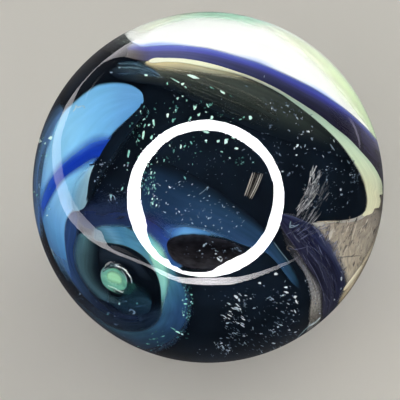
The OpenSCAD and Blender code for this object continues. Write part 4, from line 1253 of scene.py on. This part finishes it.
face_flakes("window_painted_ripple_light", "rippled_glass_painted_light_and_shade", np.concatenate([named_light_and_shade_strokes, scatter([
    (10.2, -3.1, 1.9, 0.9, 0, 70, 0.15, 0.9, 0.08, 66, 9, 0.0, 0.35),
    (10.3, -3.2, 1.9, 1.0, 0, 60, 0.12, 0.7, 0.08, 66, 12, 0.65, 1.0),
    (10.2, -5.0, 1.0, 1.2, 30, 24, 0.12, 0.5, 0.1, 62, 14, 0.1, 0.4),
    (10.3, -4.9, 1.0, 1.2, 30, 20, 0.1, 0.4, 0.1, 60, 18, 0.65, 0.95),
    (11.9, -1.7, 0.4, 0.6, 0, 14, 0.1, 0.4, 0.15, 60, 30, 0.1, 0.9),
])]), [(0.0, "#564e45"), (0.4, "#786e60"), (0.6, "#a89d88"), (1.0, "#e2d8c6")], deepest=0.87, cover=0.6)

# ---------------------------------------------------------------- camera
def placed(x_axis, y_axis, z_axis, place):
    """The matrix that stands an object at a place with the given axes."""
    return Matrix(np.array([x_axis, y_axis, z_axis, place]).T.tolist() + [[0, 0, 0, 1]])


SENSOR_WIDTH = 36.0               # millimetres
NEAR_CLIP = 0.005
focal_px = BALL_PX_R / math.tan(HALF_VIEW)
camera_data = bpy.data.cameras.new("eye")
camera_data.sensor_width = SENSOR_WIDTH
camera_data.lens = focal_px * SENSOR_WIDTH / FRAME_PX
camera_data.clip_start = NEAR_CLIP
# The ball sits a little off the picture's middle, so the eye looks a little past it
off_middle = (BALL_PX[0] - FRAME_PX / 2) * RIGHT + (FRAME_PX / 2 - BALL_PX[1]) * UP
back_axis = unit(focal_px * TO_EYE + off_middle)
side_axis = unit(np.cross(UP, back_axis))
camera = bpy.data.objects.new("eye", camera_data)
camera.matrix_world = placed(side_axis, np.cross(back_axis, side_axis), back_axis, TO_EYE * EYE_DIST)
bpy.context.scene.collection.objects.link(camera)
bpy.context.scene.camera = camera

# ---------------------------------------------------------------- studio
def flat_grid(name, rows, material, tone=None):
    """An open sheet of the studio, such as the floor or a lamp's face, from a grid of points."""
    count, across = rows.shape[:2]
    at = np.arange(count * across).reshape(count, across)
    quads = np.stack([at[:-1, :-1], at[1:, :-1], at[1:, 1:], at[:-1, 1:]], -1).reshape(-1, 4)
    sheet = make_mesh(name, rows.reshape(-1, 3), quads.tolist(), tone=tone)
    sheet.data.materials.append(material)
    return sheet


FLOOR_COLOUR = "#f7f3ea"
FLOOR_HALF = 1.5
CONTACT_SHADE = 0.5               # how much of the sky's shade the ball's own shadows leave out


def board():
    """Plain pale matt board, with the ball's contact shade on it: a ball that rests on a plane hides
    (R / d)^3 of an even sky from a place of the plane at distance d from the ball's middle."""
    material, tree = new_material("pale_board")
    place = add(tree, "ShaderNodeTexCoord").outputs["Object"]
    away = add(tree, "ShaderNodeVectorMath", {"operation": "LENGTH"}, _0=place).outputs["Value"]
    near = add(tree, "ShaderNodeMath", {"operation": "DIVIDE", 0: BALL_R}, _1=away)
    hidden = add(tree, "ShaderNodeMath", {"operation": "POWER", 1: 3.0}, _0=near.outputs[0])
    shade = add(tree, "ShaderNodeMath", {"operation": "MULTIPLY", 1: CONTACT_SHADE}, _0=hidden.outputs[0])
    colour = add(tree, "ShaderNodeMix", {"data_type": "RGBA", 6: linear(FLOOR_COLOUR),
                                         7: linear("#000000")}, _0=shade.outputs[0])
    glossless(tree, colour.outputs[2], roughness=0.9)
    return material


floor_x, floor_y = np.meshgrid([-FLOOR_HALF, FLOOR_HALF], [-FLOOR_HALF, FLOOR_HALF], indexing="ij")
floor = flat_grid("floor", np.stack([floor_x, floor_y, np.full_like(floor_x, -BALL_R)], -1), board())
floor.visible_glossy = False


WINDOW_COLOUR = "#f3eff2"


def lamp_face(name, strength=None):
    """A lamp's glowing face, white and even; or, where no strength is given, in the window's colour
    and as bright at each point as the number tone that it carries."""
    material, tree = new_material(name)
    if strength:
        glow = add(tree, "ShaderNodeEmission", {"Strength": strength, "Color": linear("#ffffff")})
    else:
        tone = add(tree, "ShaderNodeAttribute", {"attribute_name": "tone"}).outputs["Fac"]
        glow = add(tree, "ShaderNodeEmission", {"Color": linear(WINDOW_COLOUR)}, Strength=tone)
    add(tree, "ShaderNodeOutputMaterial", Surface=glow.outputs[0])
    return material


def mirrored(face, reach):
    """Where a lamp has to stand, reach from the ball's centre, for the ball's polished skin to
    mirror it at that place of the face map: the sight line d is turned back as d - 2(d.n)n."""
    face = np.asarray(face, float)
    off_axis, outside, _ = sight_angles(np.hypot(face[..., 0], face[..., 1]) / FACE_R)
    normal = round_eye(outside - off_axis, np.arctan2(face[..., 1], face[..., 0]))
    skin_point = normal * BALL_R
    sight = unit(skin_point - TO_EYE * EYE_DIST)
    away = sight - 2 * (sight * normal).sum(-1, keepdims=True) * normal
    along = (skin_point * away).sum(-1, keepdims=True)
    return skin_point + away * (np.sqrt(along**2 + reach**2 - BALL_R**2) - along)


def only_mirrored(lamp):
    """A lamp that shows in polished surfaces and lights nothing."""
    lamp.visible_camera = False
    lamp.visible_diffuse = False
    lamp.visible_transmission = False
    lamp.visible_volume_scatter = False
    lamp.visible_shadow = False


# The ring lamp round the eye: its outer edge is a circle, and its inner edge is worn at the lower left
RING_MIDDLE = np.array([-0.17, -0.79])
RING_OUT = 5.6
RING_INNER = [(4.68, 0), (4.45, 0.9), (4.1, 1.7), (3.6, 2.3), (2.8, 3.0), (1.8, 3.6), (1.0, 3.93),
              (-0.1, 4.07), (-0.8, 4.05), (-1.5, 3.9), (-2.4, 3.6), (-3.0, 3.2), (-3.6, 2.6), (-4.1, 2.0),
              (-4.45, 1.4), (-4.7, 0.8), (-4.8, 0), (-4.8, -0.8), (-4.65, -1.5), (-4.5, -2.1),
              (-4.35, -2.7), (-4.4, -3.05), (-4.33, -3.3), (-4.15, -3.8), (-4.05, -4.15), (-3.72, -4.42),
              (-3.55, -4.75), (-3.2, -5.05), (-2.8, -5.15), (-2.65, -5.4), (-2.5, -5.6), (-2.2, -5.65),
              (-1.9, -5.9), (-1.2, -6.0), (-0.5, -6.05), (0, -6.0), (0.4, -5.85), (0.8, -5.6), (1.4, -5.25),
              (2.0, -4.95), (2.8, -4.55), (3.2, -4.2), (3.7, -3.6), (4.1, -3.0), (4.3, -2.3), (4.55, -1.5),
              (4.65, -0.8)]
RING_LIGHT = 40.0
LAMP_REACH = 0.13                 # metres from the ball's middle
CARD_REACH = 0.16                 # behind the lamps


def ring_places(columns=361, rows=6):
    """Places of the face map over the ring: at each turn round its middle, from the worn inner edge,
    followed in straight lines between its corners, out to the circle."""
    inner = np.array(RING_INNER) - RING_MIDDLE
    corners = np.unwrap(np.arctan2(inner[:, 1], inner[:, 0]))
    corners = np.append(corners, corners[0] + TAU)
    turn = np.linspace(corners[0], corners[-1], columns)
    worn = np.interp(turn, corners, np.append(np.hypot(*inner.T), np.hypot(*inner[0])))
    share = np.linspace(0, 1, rows)
    reach = worn[:, None] * (1 - share) + RING_OUT * share
    return RING_MIDDLE + np.stack([np.cos(turn)[:, None] * reach, np.sin(turn)[:, None] * reach], -1)


only_mirrored(flat_grid("ring_lamp", mirrored(ring_places(), LAMP_REACH),
                        lamp_face("ring_lamp_light", RING_LIGHT)))

# A faint hoop of light from the window behind the eye, brightest at its foot, and strips of its sill,
# pane and side. Each row is a place on the outer edge, the place on the inner edge across from it, and
# the light at either
HOOP = [(-4.2, 10.4, -4.3, 9.1, 0.0, 0.0), (-4.8, 10.5, -5.0, 9.15, 0.7, 0.5),
        (-5.4, 10.4, -5.7, 9.25, 2.0, 0.9), (-6.1, 10.0, -6.3, 9.3, 2.8, 1.5),
        (-6.8, 9.5, -7.0, 9.1, 2.9, 2.1), (-7.5, 8.95, -7.65, 8.75, 2.4, 2.2),
        (-8.3, 8.2, -8.5, 7.9, 2.2, 2.0), (-9.2, 7.2, -9.1, 7.15, 2.2, 2.0),
        (-10.2, 5.7, -9.75, 5.7, 2.2, 2.1), (-10.6, 4.7, -10.12, 4.7, 2.1, 2.1),
        (-11.0, 3.5, -10.45, 3.5, 2.0, 2.0), (-11.1, 2.2, -10.45, 2.2, 2.0, 2.0),
        (-11.0, 0.9, -10.3, 0.9, 2.1, 2.1), (-10.8, 0.0, -10.0, 0.0, 2.4, 2.4),
        (-10.5, -1.1, -9.55, -1.0, 3.2, 2.6), (-10.05, -2.0, -9.0, -1.85, 4.2, 3.2),
        (-9.6, -2.6, -8.5, -2.4, 4.4, 3.6), (-9.0, -3.2, -7.95, -2.95, 5.0, 4.6),
        (-8.4, -3.75, -7.5, -3.3, 6.8, 6.2), (-7.8, -4.15, -7.3, -3.85, 7.2, 6.6),
        (-7.2, -4.45, -7.05, -4.22, 7.0, 7.0), (-6.5, -4.76, -6.42, -4.57, 7.4, 7.4),
        (-5.5, -5.16, -5.42, -4.98, 5.8, 5.8), (-4.5, -5.58, -4.43, -5.4, 6.6, 6.6),
        (-3.8, -5.93, -3.7, -5.72, 10.0, 10.0), (-3.1, -6.33, -3.0, -6.02, 13.0, 13.0),
        (-2.4, -6.62, -2.4, -6.3, 16.0, 16.0), (-1.5, -6.85, -1.5, -6.45, 19.0, 19.0),
        (0.0, -6.94, 0.0, -6.43, 21.0, 21.0), (1.2, -6.93, 1.2, -6.41, 19.0, 19.0),
        (2.2, -6.78, 2.2, -6.36, 15.0, 15.0), (3.2, -6.5, 3.2, -6.13, 11.0, 11.0),
        (4.2, -6.13, 4.2, -5.82, 7.5, 7.5), (5.2, -5.7, 5.1, -5.48, 4.5, 4.5),
        (5.9, -5.35, 5.8, -5.2, 2.6, 2.6), (6.5, -4.95, 6.45, -4.88, 1.0, 1.0)]
SILL = [(-7.0, -4.35, -6.95, -4.1, 1.0, 0.8), (-6.4, -4.5, -6.4, -4.2, 0.9, 0.7),
        (-5.8, -4.75, -5.8, -4.45, 0.7, 0.6), (-5.2, -5.0, -5.3, -4.8, 0.5, 0.4),
        (-4.6, -5.3, -4.7, -5.15, 0.3, 0.2)]
PANE = [(-6.35, 9.3, -6.45, 9.2, 2.4, 2.4), (-7.6, 7.95, -7.68, 7.87, 2.0, 2.0),
        (-8.4, 6.95, -8.5, 6.9, 1.6, 1.6), (-8.7, 6.2, -8.78, 6.2, 0.3, 0.3)]
SIDE = [(9.95, 5.0, 10.15, 5.0, 0.5, 0.5), (10.4, 4.2, 10.55, 4.2, 1.2, 1.2),
        (10.68, 3.4, 10.8, 3.4, 1.2, 1.2), (10.78, 2.7, 10.85, 2.7, 0.6, 0.6)]


def hoop(name, table, rows=40, columns=5):
    """A strip of light between two edges drawn on the face map, standing where the ball mirrors it."""
    rail = smooth_path(table, rows)
    share = np.linspace(0, 1, columns)
    face = rail[:, None, 0:2] * (1 - share[:, None]) + rail[:, None, 2:4] * share[:, None]
    light = np.maximum(rail[:, 4:5] * (1 - share) + rail[:, 5:6] * share, 0).ravel()
    only_mirrored(flat_grid(name, mirrored(face, LAMP_REACH), lamp_face(name + "_light"), light))


hoop("window_hoop", HOOP, rows=160)
hoop("window_sill", SILL)
hoop("window_pane", PANE)
hoop("window_side", SIDE)

# A white card round the back of the ball's upper right, which its outline mirrors at a glancing
# angle. Each row is the turn round the outline in degrees, and the card's light there. The rings are
# millimetres of the face map, and the tail's rows are metres on past the last one and the fade there
RIM_CARD = [(-30, 0.0), (-12, 0.05), (10, 0.12), (22, 0.35), (35, 0.5), (48, 0.62), (58, 0.72), (70, 0.75),
            (78, 0.38), (88, 0.12), (98, 0.14), (106, 0.55), (114, 0.65), (119, 0.15), (150, 0.06),
            (200, 0.06), (250, 0.05), (300, 0.05), (330, 0.0)]
CARD_RINGS = [10.4, 10.7, 11.0, 11.3, 11.6, 11.9, 12.15, 12.35, 12.45, 12.499]
CARD_TAIL = [(0.02, 0.5), (0.045, 0.15), (0.08, 0.0)]


def rim_card(columns=241):
    """The card's points and its light at each. Its light climbs smoothly, as 3 t^2 - 2 t^3, from the
    first ring of the face map to the last, and past that the card runs straight on and fades."""
    turn = np.radians(np.linspace(RIM_CARD[0][0], RIM_CARD[-1][0], columns))
    light = np.interp(np.degrees(turn), *np.transpose(RIM_CARD))
    rings = np.array(CARD_RINGS)
    t = (rings - rings[0]) / (rings[-1] - rings[0])
    card = mirrored(np.stack([np.cos(turn), np.sin(turn)], -1)[:, None] * rings[:, None], CARD_REACH)
    further, fade = np.transpose(CARD_TAIL)
    tail = card[:, -1:] + unit(card[:, -1] - card[:, -2])[:, None] * further[:, None]
    fade = np.append(t**2 * (3 - 2 * t), fade)
    return np.concatenate([card, tail], axis=1), (light[:, None] * fade).ravel()


card, card_light = rim_card()
only_mirrored(flat_grid("rim_card", card, lamp_face("white_card"), card_light))


def area_lamp(name, place, power, size=0.30):
    """A soft round studio lamp that looks at the ball and isn't mirrored in it."""
    data = bpy.data.lights.new(name, "AREA")
    data.shape = "DISK"
    data.size = size
    data.energy = power
    lamp = bpy.data.objects.new(name, data)
    z = unit(np.asarray(place, float))
    x = unit(np.cross([0, 0, 1.0], z))
    lamp.matrix_world = placed(x, np.cross(z, x), z, place)
    bpy.context.scene.collection.objects.link(lamp)
    lamp.visible_glossy = False
    lamp.visible_transmission = False


area_lamp("key_lamp", (-0.10, -0.22, 0.30), power=0.42)
area_lamp("fill_lamp", (0.20, 0.16, 0.30), power=0.20)

SKY_COLOUR = "#f4f4f2"
SKY_LIGHT = 0.36
world = bpy.data.worlds.new("studio")
bpy.context.scene.world = world
world.use_nodes = True
sky = world.node_tree.nodes["Background"]
sky.inputs["Color"].default_value = linear(SKY_COLOUR)
sky.inputs["Strength"].default_value = SKY_LIGHT
world.cycles_visibility.glossy = False
bpy.context.scene.view_settings.view_transform = "Standard"
